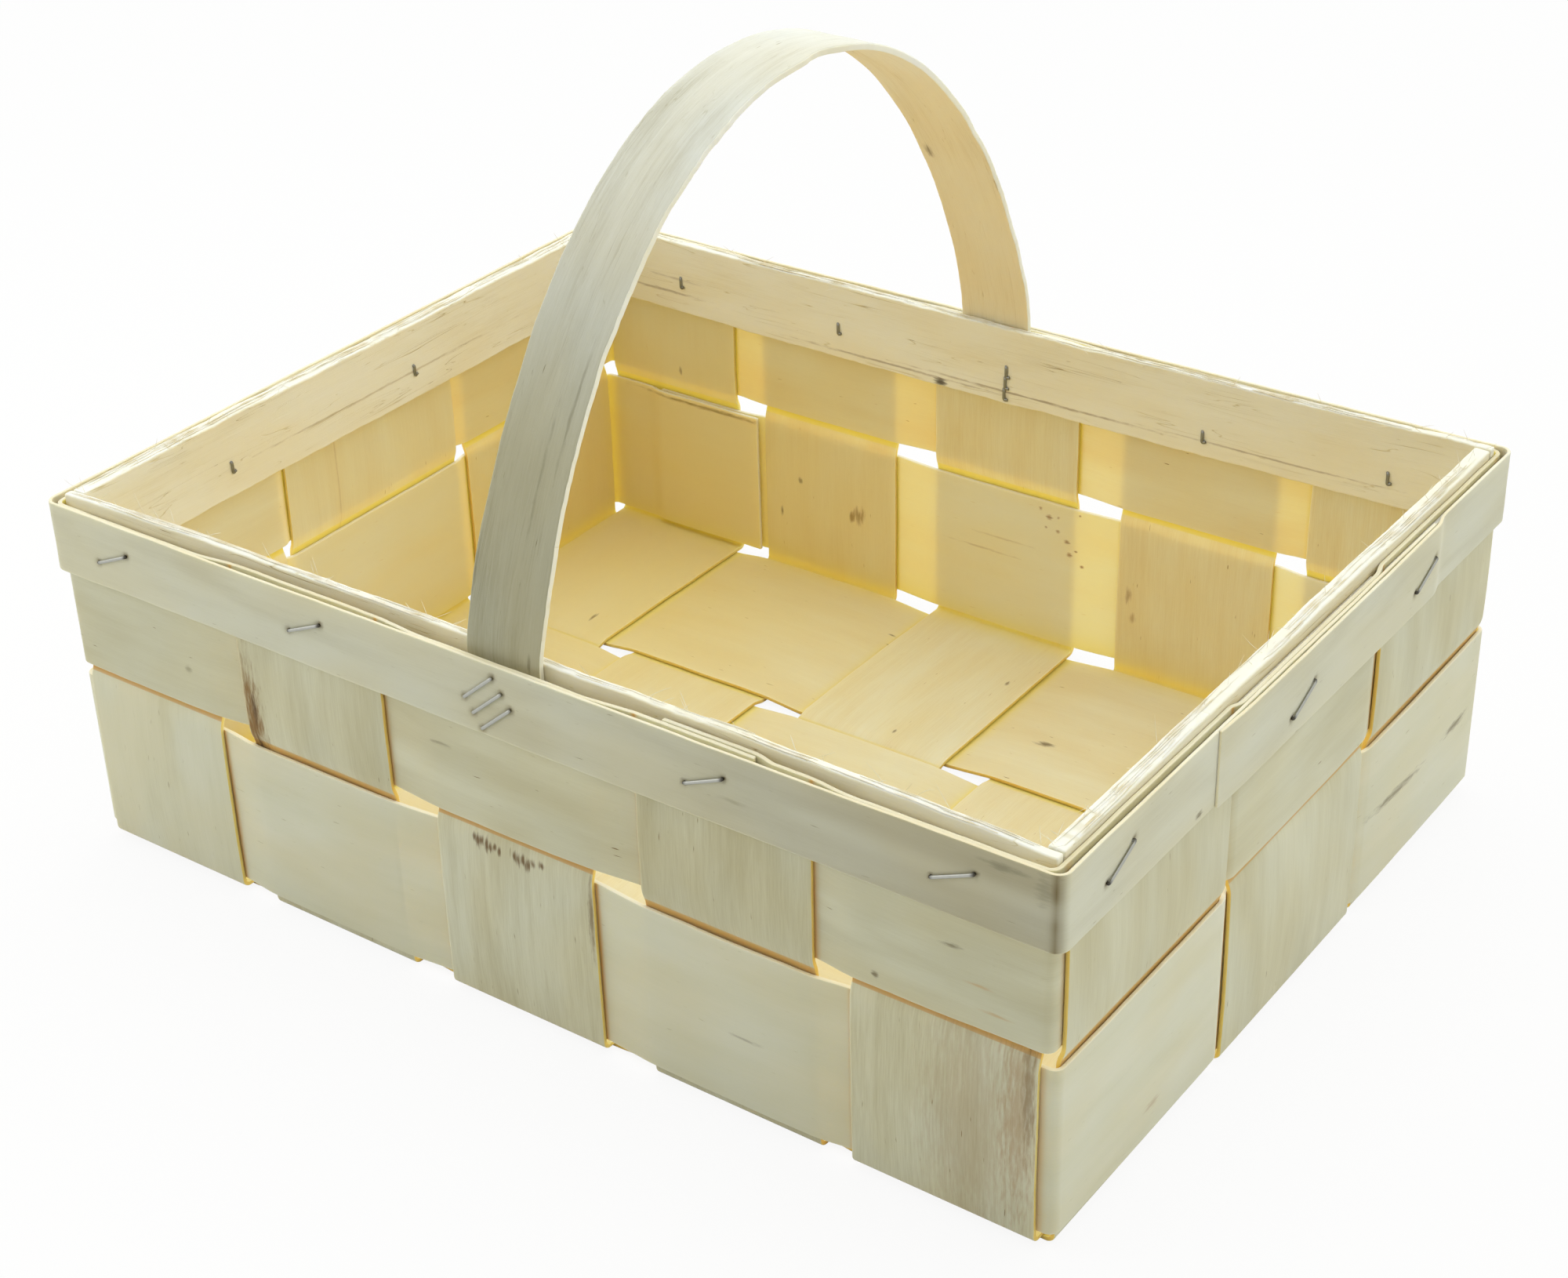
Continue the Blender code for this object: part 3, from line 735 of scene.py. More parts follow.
# The golden colours of the splints' slit edges are partly painted glow
GLOWING_COLOURS = ("#FBE2A4", "#F6CE7A", "#DDAC54", "#94702F")
BAND_COLOURS = ("#E6E5D2", "#DBDAC4", "#BFBBA0", "#8C7C5A")
SLAT_COLOURS = ("#F8F5E4", "#F3EFDA", "#E0D7B3", "#8E7546")
TORN_COLOURS = ("#FAFBF0", "#F5F5E8", "#E6E2CA", "#B4A172")
HANDLE_COLOURS = ("#EBEDE4", "#DCDDD0", "#BAB69C", "#857250")
HANDLE_INSIDE_COLOURS = ("#F6EDD0", "#F0E5C4", "#D9C896", "#94713C")
# Painted light: a warm painted shade in the grooves outside, and a painted yellow glow along the seams inside
OUTER_SEAM_PAINTED_SHADE = ("painted_light_and_marks", 1, "#D6AC60", "MIX")
INNER_SEAM_PAINTED_GLOW = ("painted_light_and_marks", -1, "#FFE37C", "MIX")
FOLD_GLOW = ("fold", 1, "#FFE37C", "MIX")
# Painted yellow bounce light in the back left corner
PAINTED_CORNER_BOUNCE = ("nook", 1, "#F3D783", "MIX")
PALE_END = ("end", 1, "#F0EAD0", "MIX")
# The band is drawn darker round the staple legs and along the corner crease, with painted shade from that
# corner on
BAND_MARKS_AND_PAINTED_SHADE = ("painted_light_and_marks", 1, "#7C6A3E", "MIX")
# Painted shade on the handle's legs
HANDLE_PAINTED_SHADE = ("painted_light_and_marks", 1, "#B5AE84", "MULTIPLY")

# %% Finishes
veneer_outside = wood("poplar_veneer_outside", OUTSIDE_COLOURS, tints=[OUTER_SEAM_PAINTED_SHADE], marks=OUTSIDE_MARKS)
veneer_inside = wood(
    "poplar_veneer_inside", INSIDE_COLOURS, INSIDE_DEPTH,
    tints=[PAINTED_CORNER_BOUNCE, FOLD_GLOW, INNER_SEAM_PAINTED_GLOW], marks=INSIDE_MARKS,
)
veneer_edge = wood("poplar_veneer_slit_edge", CUT_COLOURS, CUT_DEPTH)
glowing_edge = wood("poplar_veneer_glowing_edge", GLOWING_COLOURS, EDGE_DEPTH, tints=[PALE_END])
band_outside = wood("poplar_band_outside", BAND_COLOURS, tints=[BAND_MARKS_AND_PAINTED_SHADE], marks=BAND_MARKS)
band_edge = wood("poplar_band_edge", CUT_COLOURS, SAWN_DEPTH)
slat_face = wood("poplar_slat_face", SLAT_COLOURS, SAWN_DEPTH, relief=0.35, cracks=0.42, marks=SLAT_MARKS)
slat_top = wood("poplar_slat_top", TORN_COLOURS, SAWN_DEPTH, relief=0.4, cracks=0.3)
handle_outside = wood(
    "poplar_handle_outside", HANDLE_COLOURS, SAWN_DEPTH,
    relief=0.4, cracks=0.14, waver=1.0, tints=[HANDLE_PAINTED_SHADE], marks=HANDLE_OUTSIDE_MARKS,
)
handle_inside = wood(
    "poplar_handle_inside", HANDLE_INSIDE_COLOURS, SAWN_DEPTH,
    relief=0.3, cracks=0.18, marks=HANDLE_INSIDE_MARKS,
)

# %% [markdown]
# ## Splints
# A splint is one long strip that goes down a wall, under or over the crossing strips on the floor, and up
# the other wall. Where it lies outside the weavers it is bent outwards over them and bulges. Where it lies
# inside it gives a little inwards. The solid's side view is drawn again with finer steps and easier bends.

# %% Side view of a splint
SPLINT_STAND = 0.3 * MM


def splint_path(half_span, crossings, outside_at_foot, on_top):
    """Side view of one splint: down one wall, over and under the crossing splints, and up the other wall."""
    foot_depth = OUTER_LAYER if outside_at_foot else INNER_LAYER
    head_depth = INNER_LAYER if outside_at_foot else OUTER_LAYER
    foot = half_span - foot_depth
    head = half_span - head_depth
    heights = [UPPER_FLOOR if top else LOWER_FLOOR for top in on_top]
    wall = (
        (head, SPLINT_TOP + SPLINT_STAND, 0),
        (head, UPPER_WEAVER_FOOT - CLEARANCE, EASY_BEND),
        (foot, WEAVER_TOP + CLEARANCE, EASY_BEND),
    )
    corners = [(Vector((-along, up)), radius) for along, up, radius in wall]
    corners.append((Vector((-foot, heights[0])), FOLD_RADIUS))
    for index in range(len(crossings) - 1):
        corners.append((Vector((crossings[index][1] + CLEARANCE, heights[index])), EASY_BEND))
        corners.append((Vector((crossings[index + 1][0] - CLEARANCE, heights[index + 1])), EASY_BEND))
    corners.append((Vector((foot, heights[-1])), FOLD_RADIUS))
    corners.extend((Vector((along, up)), radius) for along, up, radius in reversed(wall))
    return divided(rounded(corners), GRID)


# %% Bulges and seams of a splint
OUTER_BOW = 1.1 * MM
INNER_BOW = 0.6 * MM
UPPER_BOW = 0.5 * MM
FLOOR_BOW = 0.5 * MM
EDGE_DROP = 0.75
FACE_RIPPLE = 0.10 * MM
SEAM_SHIFT = 0.5 * MM
SEAM_REACH = 1.9 * MM


def splint_lift(crossings, outside_at_foot, on_top, seed):
    """How far a splint stands off its path: outwards on the walls, and upwards where it is on top."""

    def lift(place, along, share):
        crown = 1 - EDGE_DROP * (2 * share - 1) ** 2
        if place.y > WEAVER_TOP + CLEARANCE:
            rise = (place.y - UPPER_WEAVER_FOOT) / (BAND_FOOT - UPPER_WEAVER_FOOT)
            size = -INNER_BOW if outside_at_foot else UPPER_BOW
        elif place.y > WEAVER_FOOT:
            rise = (place.y - WEAVER_FOOT) / (WEAVER_TOP - WEAVER_FOOT)
            size = OUTER_BOW if outside_at_foot else -INNER_BOW
        else:
            rise = 0
            size = 0
            for (low, high), top in zip(crossings, on_top):
                if top and low < place.x < high:
                    rise = (place.x - low) / (high - low)
                    size = -FLOOR_BOW
        return size * bulge(rise) * crown + ripple(along, share, seed, FACE_RIPPLE) * bulge(rise)

    return lift


def splint_seams(crossings, outside_at_foot, on_top):
    """Where a splint dives under its neighbours: painted glow and shade in the groove, for light from the
    other side.
    """
    side = -1 if outside_at_foot else 1
    wall_lines = [(WEAVER_TOP + SEAM_SHIFT, side), (UPPER_WEAVER_FOOT - SEAM_SHIFT, -side)]
    floor_lines = [(edge, 1 if top else -1) for span, top in zip(crossings, on_top) for edge in span]

    def painted_light_and_marks(place, along, share):
        if place.y > WEAVER_FOOT:
            return seam(place.y, wall_lines, SEAM_REACH)
        return seam(place.x, floor_lines, SEAM_REACH)

    return painted_light_and_marks


# %% Cross splints and long splints
# The tone and the figure of each splint
CROSS_LOOKS = ((0.41, 0.50), (0.60, 0.60), (0.52, 0.85), (0.65, 0.75), (0.56, 1.0))
LONG_LOOKS = ((0.61, 0.40), (0.56, 0.45), (0.61, 0.40))
CROSS_SEED = 1
LONG_SEED = 11
FLIPPED_LONG_SPANS = [(-high, -low) for low, high in LONG_SPANS]


def add_splints(nodes, spans, looks, crossings, half_span, lie, odd, seed):
    """The splints of one direction. Every second one stands outside at its foot and lies on top of every
    second crossing, and odd is 1 for the direction that starts with the others."""
    for number, (node, (low, high), look) in enumerate(zip(nodes, spans, looks)):
        outside_at_foot = number % 2 == odd
        on_top = [(number + other) % 2 == odd for other in range(len(crossings))]
        strip(
            node, (veneer_outside, veneer_inside, glowing_edge),
            splint_path(half_span, crossings, outside_at_foot, on_top), lie, 1, FULL_VENEER,
            wavy(low, high, seed + number),
            splint_lift(crossings, outside_at_foot, on_top, seed + number),
            look,
            painted_light_and_marks=splint_seams(crossings, outside_at_foot, on_top),
        )


add_splints(CROSS_SPLINTS, CROSS_SPANS, CROSS_LOOKS, LONG_SPANS, RIM_HALF_WIDTH, CROSSWISE, 0, CROSS_SEED)
add_splints(
    LONG_SPLINTS, FLIPPED_LONG_SPANS, LONG_LOOKS, CROSS_SPANS, RIM_HALF_LENGTH, LENGTHWISE, 1, LONG_SEED
)

# %% [markdown]
# ## Weavers
# Each weaver runs once round the walls in plan, outside one upright and inside the next, and laps over its
# own start. Where it passes outside an upright it is pushed out, most of all along its free edge, which is
# why the lower weaver's top flares and the upper weaver's foot looks wavy. Under the rim band it is pressed
# flat.

# %% Plan of the walls
BACK, RIGHT, FRONT, LEFT = range(4)
WALL_NAMES = ("back", "right", "front", "left")
WALL_OUTWARD = (Vector((0, 1)), Vector((1, 0)), Vector((0, -1)), Vector((-1, 0)))
WALL_HALF = (RIM_HALF_WIDTH, RIM_HALF_LENGTH, RIM_HALF_WIDTH, RIM_HALF_LENGTH)


def along_wall(wall):
    """The direction clockwise along a wall, in plan."""
    return WALL_OUTWARD[(wall + 1) % len(WALL_OUTWARD)]


def wall_place(wall, along, depth):
    """Plan view of a place on a wall: how far along it, clockwise from its middle, and how deep."""
    return along_wall(wall) * along + WALL_OUTWARD[wall] * (WALL_HALF[wall] - depth)


def wall_of(place):
    """The wall that a place in plan belongs to, how far along that wall it is, and how deep."""
    depths = [half - place.dot(outward) for half, outward in zip(WALL_HALF, WALL_OUTWARD)]
    wall = depths.index(min(depths))
    return wall, place.dot(along_wall(wall)), depths[wall]


def ring_path(stations, corner_radius, grid=GRID):
    """Plan view of a strip that runs clockwise through its stations, turning where the wall changes."""
    corners = []
    for index, (wall, along, depth) in enumerate(stations):
        if index and stations[index - 1][0] != wall:
            before = stations[index - 1]
            reach = WALL_HALF[wall] - depth
            corners.append((wall_place(before[0], reach, before[2]), corner_radius))
        is_end = index in (0, len(stations) - 1)
        corners.append((wall_place(wall, along, depth), 0 if is_end else EASY_BEND))
    return divided(rounded(corners), grid)


def wall_uprights(wall):
    """Spans of a wall's uprights in clockwise order, each with whether it stands outside at the foot."""
    if wall in (BACK, FRONT):
        uprights = [(low, high, column % 2 == 0) for column, (low, high) in enumerate(CROSS_SPANS)]
    else:
        uprights = [(low, high, row % 2 == 1) for row, (low, high) in enumerate(LONG_SPANS)]
    if wall in (RIGHT, FRONT):
        uprights = [(-high, -low, outside) for low, high, outside in reversed(uprights)]
    return uprights


# %% Plan of a weaver
WEAVER_CORNER = 2.2 * MM
LAP_RISE = 4.0 * MM


def weaver_path(upper, lap_wall, lap_upright, lap_shares):
    """Plan view of one weaver: from its first end once round the walls, to its last end inside the first."""
    stations = []
    for turn in range(len(WALL_HALF) + 1):
        wall = (lap_wall + turn) % len(WALL_HALF)
        uprights = wall_uprights(wall)
        depths = [INNER_LAYER if outside != upper else OUTER_LAYER for _, _, outside in uprights]
        first = lap_upright if turn == 0 else 0
        last = lap_upright if turn == len(WALL_HALF) else len(uprights) - 1
        for index in range(first, last):
            stations.append((wall, uprights[index][1] + CLEARANCE, depths[index]))
            stations.append((wall, uprights[index + 1][0] - CLEARANCE, depths[index + 1]))
    low, high, _ = wall_uprights(lap_wall)[lap_upright]
    start, end = (low + (high - low) * share for share in lap_shares)
    stations.insert(0, (lap_wall, start, INNER_LAYER))
    stations.append((lap_wall, start - CLEARANCE - LAP_RISE, INNER_LAYER))
    stations.append((lap_wall, start - CLEARANCE, THIRD_LAYER))
    stations.append((lap_wall, end, THIRD_LAYER))
    return ring_path(stations, WEAVER_CORNER)


# %% Bulges and seams of a weaver
WEAVER_BOW = 1.1 * MM
WEAVER_GIVE = 0.6 * MM
SWELL_POWER = 0.7
LOWER_FLARE = 0.15 * MM
UPPER_FLARE = 0.075 * MM
EDGE_BODY = 0.12
COVERED_SHARE = 0.42
UNCOVERING = 2
FLARE_POWER = 3
MIDDLE_LAYER = (OUTER_LAYER + INNER_LAYER) / 2


def weaver_lift(upper, seed):
    """How far a weaver stands off its path, outside or inside of each upright that it passes."""

    def lift(place, along, share):
        wall, reach, depth = wall_of(place)
        for low, high, _ in wall_uprights(wall):
            if low < reach < high:
                swell = bulge((reach - low) / (high - low)) ** SWELL_POWER
                break
        else:
            return 0.0
        free = (1 - share) if upper else share
        pressed = min(max(UNCOVERING * (free - COVERED_SHARE), 0.0), 1.0) if upper else 1.0
        body = (EDGE_BODY + (1 - EDGE_BODY) * bulge(share)) * pressed
        if depth < MIDDLE_LAYER:
            stand = WEAVER_BOW * body + (UPPER_FLARE if upper else LOWER_FLARE) * free ** FLARE_POWER
        else:
            stand = -WEAVER_GIVE * body
        return swell * (stand + ripple(along, share, seed, FACE_RIPPLE) * pressed)

    return lift


def weaver_seams(upper):
    """Painted glow and shade where a weaver passes the edges of the uprights: outside where an upright lies
    outside it, and inside where an upright lies inside it."""

    def lines_of(wall):
        for low, high, outside in wall_uprights(wall):
            yield from ((edge, 1 if outside != upper else -1) for edge in (low, high))

    lines = [list(lines_of(wall)) for wall in range(len(WALL_HALF))]

    def painted_light_and_marks(place, along, share):
        wall, reach, _ = wall_of(place)
        return seam(reach, lines[wall], SEAM_REACH / 3)

    return painted_light_and_marks


# %% Lower and upper weaver
WEAVER_FIGURE = 0.30
WEAVER_SEED = 21
FOOT_TRIM = 0.6 * MM
EDGE_TRIM = 0.4 * MM
UPPER_WEAVER_HEAD = UPPER_WEAVER_TOP + CLEARANCE
# Each weaver's lap: its wall, its upright there, and the ends of the strip as shares of that upright's
# width. Then its foot, its top and its tone
WEAVERS = (
    ("lower_weaver", (BACK, 0, (0.39, 1.18)), WEAVER_FOOT + FOOT_TRIM, WEAVER_TOP - EDGE_TRIM, 0.38),
    ("upper_weaver", (FRONT, 1, (0.32, 0.86)), UPPER_WEAVER_FOOT + EDGE_TRIM, UPPER_WEAVER_HEAD, 0.57),
)

for seed, (node, lap, foot, top, tone) in enumerate(WEAVERS, WEAVER_SEED):
    upper = node == "upper_weaver"
    strip(
        node, (veneer_outside, veneer_inside, veneer_edge),
        weaver_path(upper, *lap), FLAT, -1, FULL_VENEER,
        wavy(foot, top, seed),
        weaver_lift(upper, seed),
        (tone, WEAVER_FIGURE),
        painted_light_and_marks=weaver_seams(upper),
    )

# %% [markdown]
# ## Staples: where they are
# The wire staples pass through the whole rim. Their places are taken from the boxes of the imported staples,
# and they are found before the band is made, because the wood of the band is pressed in round every leg.

# %% Places of the staples
STAPLE_WIRE = 0.9 * MM
STAPLE_CROWN = 13.0 * MM
STAPLE_HALF = (STAPLE_CROWN - STAPLE_WIRE) / 2
HANDLE_TILTS = {"front": math.radians(41), "back": math.radians(12)}
WALL_TILT = math.radians(24)


def staple_facts(node):
    """Wall, place along it, height of the crown and tilt of a packed staple."""
    low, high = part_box(node)
    side = next(part for part in node.split("_") if part in WALL_NAMES)
    wall = WALL_NAMES.index(side)
    along = ((low + high) / 2).xy.dot(along_wall(wall))
    clockwise = 1 if wall in (BACK, LEFT) else -1
    tilt = clockwise * (HANDLE_TILTS[side] if "handle" in node else WALL_TILT)
    crown = high.z - STAPLE_WIRE / 2 - STAPLE_HALF * abs(math.sin(tilt))
    return wall, along, crown, tilt


staples = {node: staple_facts(node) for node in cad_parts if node.startswith("staple")}
staple_legs = [
    (wall, along + aside * math.cos(tilt), height + aside * math.sin(tilt))
    for wall, along, height, tilt in staples.values()
    for aside in (-STAPLE_HALF, STAPLE_HALF)
]
print("staples:", len(staples), "with legs:", len(staple_legs))

# %% [markdown]
# ## Rim band
# The band is the thinnest and smoothest strip. Its lap is on the right wall, with the outer end pressed
# home. It is modelled more finely than the veneer, so that the dents that the stapler leaves at the ends of
# each crown are real hollows. Its wood is drawn darker round them and along a crease at the near corner, and
# from that corner on it carries painted shade that fades along the front.

# %% Plan of the band
BAND_GRID = 0.9 * MM
BAND_CORNER = 2.8 * MM
BAND_LAP = (-0.58 * RIM_HALF_WIDTH, 0.42 * RIM_HALF_WIDTH)

stations = [(RIGHT, BAND_LAP[0], BAND_LAYER)]
stations.extend((wall, 0, BAND_LAYER) for wall in (FRONT, LEFT, BACK))
stations.append((RIGHT, BAND_LAP[0] - CLEARANCE - LAP_RISE, BAND_LAYER))
stations.append((RIGHT, BAND_LAP[0] - CLEARANCE, BAND_LAP_LAYER))
stations.append((RIGHT, BAND_LAP[1], BAND_LAP_LAYER))
band_path = ring_path(stations, BAND_CORNER, BAND_GRID)
band_length = path_frame(band_path)[0][-1]
print("band length in mm:", round(band_length / MM))

# %% Dents, darker marks and painted shade of the band
BAND_SEED = 31
BAND_FRAY = 0.8
BAND_LOOK = (0.46, 0.30)
BAND_RIPPLE = 0.10 * MM
DENT_DEPTH = 0.30 * MM
DENT_RADIUS = 1.4 * MM
LEG_DARKENING_RADIUS = 0.9 * MM
DENT_REACH = 3
LAP_PRESS = 14 * MM
LAP_SINK = 0.5 * MM
CREASE = 0.75
CREASE_AT = 178 * MM
CREASE_REACH = 1.2 * MM
# Painted shade: the band is drawn darker from the near corner on, fading along the front
NEAR_CORNER_SHADE = 0.52
NEAR_CORNER_SHADE_REACH = 90 * MM
PATCHES_ACROSS = 3.0
PATCH_MIDDLE = 0.65
PATCH_SEED = (2.0, 9.0)


def dent(place, share, radius):
    """How deep in a staple's dent a place of the band lies, from 0 to 1."""
    wall, reach, _ = wall_of(place)
    height = BAND_FOOT + (RIM_HEIGHT - BAND_FOOT) * share
    deepest = 0.0
    for leg_wall, leg_reach, leg_height in staple_legs:
        if leg_wall == wall and abs(leg_reach - reach) < DENT_REACH * radius:
            deepest = max(deepest, faded(math.hypot(leg_reach - reach, leg_height - height), radius))
    return deepest


def band_lift(place, along, share):
    """A shallow ripple, a hollow at each staple leg, and the outer end of the lap pressed home."""
    pressed = LAP_SINK * max(0.0, 1 - (band_length - along) / LAP_PRESS) ** 2
    dented = DENT_DEPTH * dent(place, share, DENT_RADIUS)
    return ripple(along, share, BAND_SEED, BAND_RIPPLE) - dented - pressed


def band_marks_and_shade(place, along, share):
    """Darker round each leg and along a crease at the near corner, and painted shade from that corner on."""
    patchy = PATCH_MIDDLE + noise_at(share * PATCHES_ACROSS, *PATCH_SEED)
    crease_and_shade = CREASE * faded(along - CREASE_AT, CREASE_REACH)
    if along > CREASE_AT:
        crease_and_shade += NEAR_CORNER_SHADE * faded(along - CREASE_AT, NEAR_CORNER_SHADE_REACH)
    return max(dent(place, share, LEG_DARKENING_RADIUS), patchy * crease_and_shade)


strip(
    "rim_band", (band_outside, band_edge, band_edge),
    band_path, FLAT, -1, BAND_THICKNESS,
    wavy(BAND_FOOT, RIM_HEIGHT, BAND_SEED, BAND_FRAY),
    band_lift,
    BAND_LOOK,
    grid=BAND_GRID,
    painted_light_and_marks=band_marks_and_shade,
)

# %% [markdown]
# ## Slats
# The four slats are thicker, sawn or split rather than peeled, so that their top edges are rough and furry.
# The long ones bow off the wall in their middle, where the handle's feet stand behind them.

# %% Slats
SLAT_GRID = 1.1 * MM
SLAT_EDGE_BREAK = 0.55 * MM
LONG_SLAT_HALF = RIM_HALF_LENGTH - WALL_FACE
SHORT_SLAT_HALF = RIM_HALF_WIDTH - WALL_FACE - LONG_SLAT_THICKNESS - CLEARANCE
SLAT_BOW = HANDLE_THICKNESS + CLEARANCE
SLAT_BOW_REACH = LONG_SLAT_HALF - SHORT_SLAT_THICKNESS - CLEARANCE
SLAT_BOW_POWER = 2.4
SLAT_RELIEF = 0.10 * MM
SLAT_RIDGE = 21 * MM
SLAT_RIDGES_ACROSS = 7.0
SLAT_FRAY = 2.2
SLAT_SEED = 41
SLAT_LOOK = (0.40, 0.7)


def slat_half(wall):
    """Half the length of a wall's slat."""
    return LONG_SLAT_HALF if wall in (BACK, FRONT) else SHORT_SLAT_HALF


def slat_depths(wall, along):
    """Depths of a slat's outer face and of its inner face."""
    if wall in (BACK, FRONT):
        outer = WALL_FACE + SLAT_BOW * (1 - min(abs(along) / SLAT_BOW_REACH, 1) ** SLAT_BOW_POWER)
        return outer, outer + LONG_SLAT_THICKNESS
    return WALL_FACE, WALL_FACE + SHORT_SLAT_THICKNESS


def slat_lift(seed):
    """Ridges and hollows where the saw or the splitting knife followed the fibres."""

    def lift(place, along, share):
        return SLAT_RELIEF * noise_at(along / SLAT_RIDGE, share * SLAT_RIDGES_ACROSS, seed)

    return lift


for wall, side in enumerate(WALL_NAMES):
    steps = math.ceil(2 * slat_half(wall) / SLAT_GRID)
    places = [slat_half(wall) * (2 * step / steps - 1) for step in range(steps + 1)]
    strip(
        f"{side}_slat", (slat_face, slat_face, slat_top),
        [wall_place(wall, along, sum(slat_depths(wall, along)) / 2) for along in places], FLAT, -1,
        LONG_SLAT_THICKNESS if wall in (BACK, FRONT) else SHORT_SLAT_THICKNESS,
        wavy(SLAT_FOOT, SLAT_TOP, SLAT_SEED + wall, SLAT_FRAY),
        slat_lift(SLAT_SEED + wall),
        SLAT_LOOK,
        grid=SLAT_GRID,
        edge_break=SLAT_EDGE_BREAK,
    )

# %% [markdown]
# ## Torn fibres on the slats
# The slats' upper edges were never planed. Long splinters lie along them, half torn off, and short hairs
# stick up and out. They are thin curves, drawn for each slat from its own seeded dice, so that they fall
# the same way in every run.

# %% Curves
def add_curve(name, thickness, smoothness):
    """A round curve in the scene, with nothing drawn in it yet. Each point can thin it by its radius."""
    curve = bpy.data.curves.new(name, "CURVE")
    curve.dimensions = "3D"
    curve.bevel_depth = thickness
    curve.bevel_resolution = smoothness
    return add_object(name, curve)


def draw_line(curve, points, radii):
    """One line through the points, as thick at each as its radius says."""
    line = curve.splines.new("POLY")
    line.points.add(len(points) - 1)
    for place, point, radius in zip(line.points, points, radii):
        place.co = (*point, 1)
        place.radius = radius


# %% Finish of torn fibres
FIBRE_PATCH = 6 * MM
FIBRE_STOPS = ((0.35, "#E6DBB8"), (0.65, "#FAF8EC"))
FIBRE_ROUGHNESS = 0.7

torn_fibre, tree, shader = new_finish("poplar_torn_fibre")
where = add_node(tree, "TexCoord").outputs["Object"]
inputs = {"Vector": where, "Scale": 1 / FIBRE_PATCH, "Detail": SOFT}
spots = add_node(tree, "TexNoise", inputs).outputs["Fac"]
pale = add_node(tree, "ValToRGB", {"Fac": spots})
lay_colours(pale, FIBRE_STOPS)
feed(tree, shader, {"Base Color": pale, "Roughness": FIBRE_ROUGHNESS})

# %% Splinters and hairs
FIBRE_SEED = 70
FIBRE_POINTS = 6
FIBRE_SMOOTHNESS = 1
FIBRE_SHARES = [index / (FIBRE_POINTS - 1) for index in range(FIBRE_POINTS)]
FIBRE_ENDS = 0.35
TOP_SEED = 91
SPLINTERS = 70
SPLINTER_LENGTHS = (9 * MM, 34 * MM)
SPLINTER_RADII = (0.10 * MM, 0.24 * MM)
SPLINTER_ACROSS = (0.12, 0.88)
SPLINTER_SLANT = (-0.12, 0.12)
SPLINTER_HEIGHT = (-0.15 * MM, 0.20 * MM)
SPLINTER_WAVE = (-0.05 * MM, 0.05 * MM)
SLAT_TOP_SHARES = (0.08, 0.92)
HAIRS = 56
HAIR_LENGTHS = (1.5 * MM, 7.0 * MM)
HAIR_RADIUS = 0.06 * MM
HAIR_ACROSS = (0.3, 1.0)
HAIR_ROOT = (0.1 * MM, 1.2 * MM)
HAIR_RUN = (0.4, 1.0)
HAIR_INWARD = (-0.1, 0.6)
HAIR_RISE = (0.1, 0.8)
HAIR_CURL = (-0.4, 0.4)


def fibre_radii(radius):
    """A fibre tapers to both ends."""
    return [radius * (FIBRE_ENDS + (1 - FIBRE_ENDS) * bulge(share)) for share in FIBRE_SHARES]


def splinter(dice, wall):
    """Points of a splinter that lies along a slat's top, and its radius."""
    length = dice.uniform(*SPLINTER_LENGTHS)
    start = dice.uniform(-slat_half(wall), slat_half(wall) - length)
    radius = dice.uniform(*SPLINTER_RADII)
    across = dice.uniform(*SPLINTER_ACROSS)
    slant = dice.uniform(*SPLINTER_SLANT)
    height = dice.uniform(*SPLINTER_HEIGHT)
    low, high = SLAT_TOP_SHARES
    points = []
    for share in FIBRE_SHARES:
        along = start + length * share
        outer, inner = slat_depths(wall, along)
        depth = outer + (inner - outer) * min(max(across + slant * (share - 0.5), low), high)
        top = SLAT_TOP + wander(along + slat_half(wall), TOP_SEED + wall, SLAT_FRAY)
        points.append((*wall_place(wall, along, depth), top + height + dice.uniform(*SPLINTER_WAVE)))
    return points, radius


def hair(dice, wall):
    """Points of a hair that stands off a slat's top."""
    along = dice.uniform(-slat_half(wall), slat_half(wall))
    outer, inner = slat_depths(wall, along)
    depth = outer + (inner - outer) * dice.uniform(*HAIR_ACROSS)
    root = Vector((*wall_place(wall, along, depth), SLAT_TOP - dice.uniform(*HAIR_ROOT)))
    run = along_wall(wall) * dice.choice((-1, 1))
    aside = run * dice.uniform(*HAIR_RUN) - WALL_OUTWARD[wall] * dice.uniform(*HAIR_INWARD)
    lean = Vector((*aside, dice.uniform(*HAIR_RISE)))
    curl = Vector((0, 0, dice.uniform(*HAIR_CURL)))
    length = dice.uniform(*HAIR_LENGTHS)
    return [root + (lean * share + curl * share * share) * length for share in FIBRE_SHARES]


for wall, side in enumerate(WALL_NAMES):
    dice = random.Random(FIBRE_SEED + wall)
    fibres = add_curve(f"{side}_slat_fibres", 1.0, FIBRE_SMOOTHNESS)
    fibres.data.materials.append(torn_fibre)
    for _ in range(SPLINTERS):
        points, radius = splinter(dice, wall)
        draw_line(fibres.data, points, fibre_radii(radius))
    for _ in range(HAIRS):
        draw_line(fibres.data, hair(dice, wall), fibre_radii(HAIR_RADIUS))
    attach(fibres, "root")
    print(fibres.name, "has", len(fibres.data.splines), "fibres")

# %% [markdown]
# ## Bow handle
# The handle is one straight lath, steamed and bent over a form. Its side view is two quarter arches that
# meet at the top, and straight feet that go down behind the long slats. It is a little skewed, because the
# two feet aren't exactly opposite.

# %% Side view of the handle
HANDLE_GRID = 1.5 * MM
HANDLE_FOOT = RIM_HALF_WIDTH - HANDLE_LAYER
HANDLE_APEX_SHIFT = 2.5 * MM
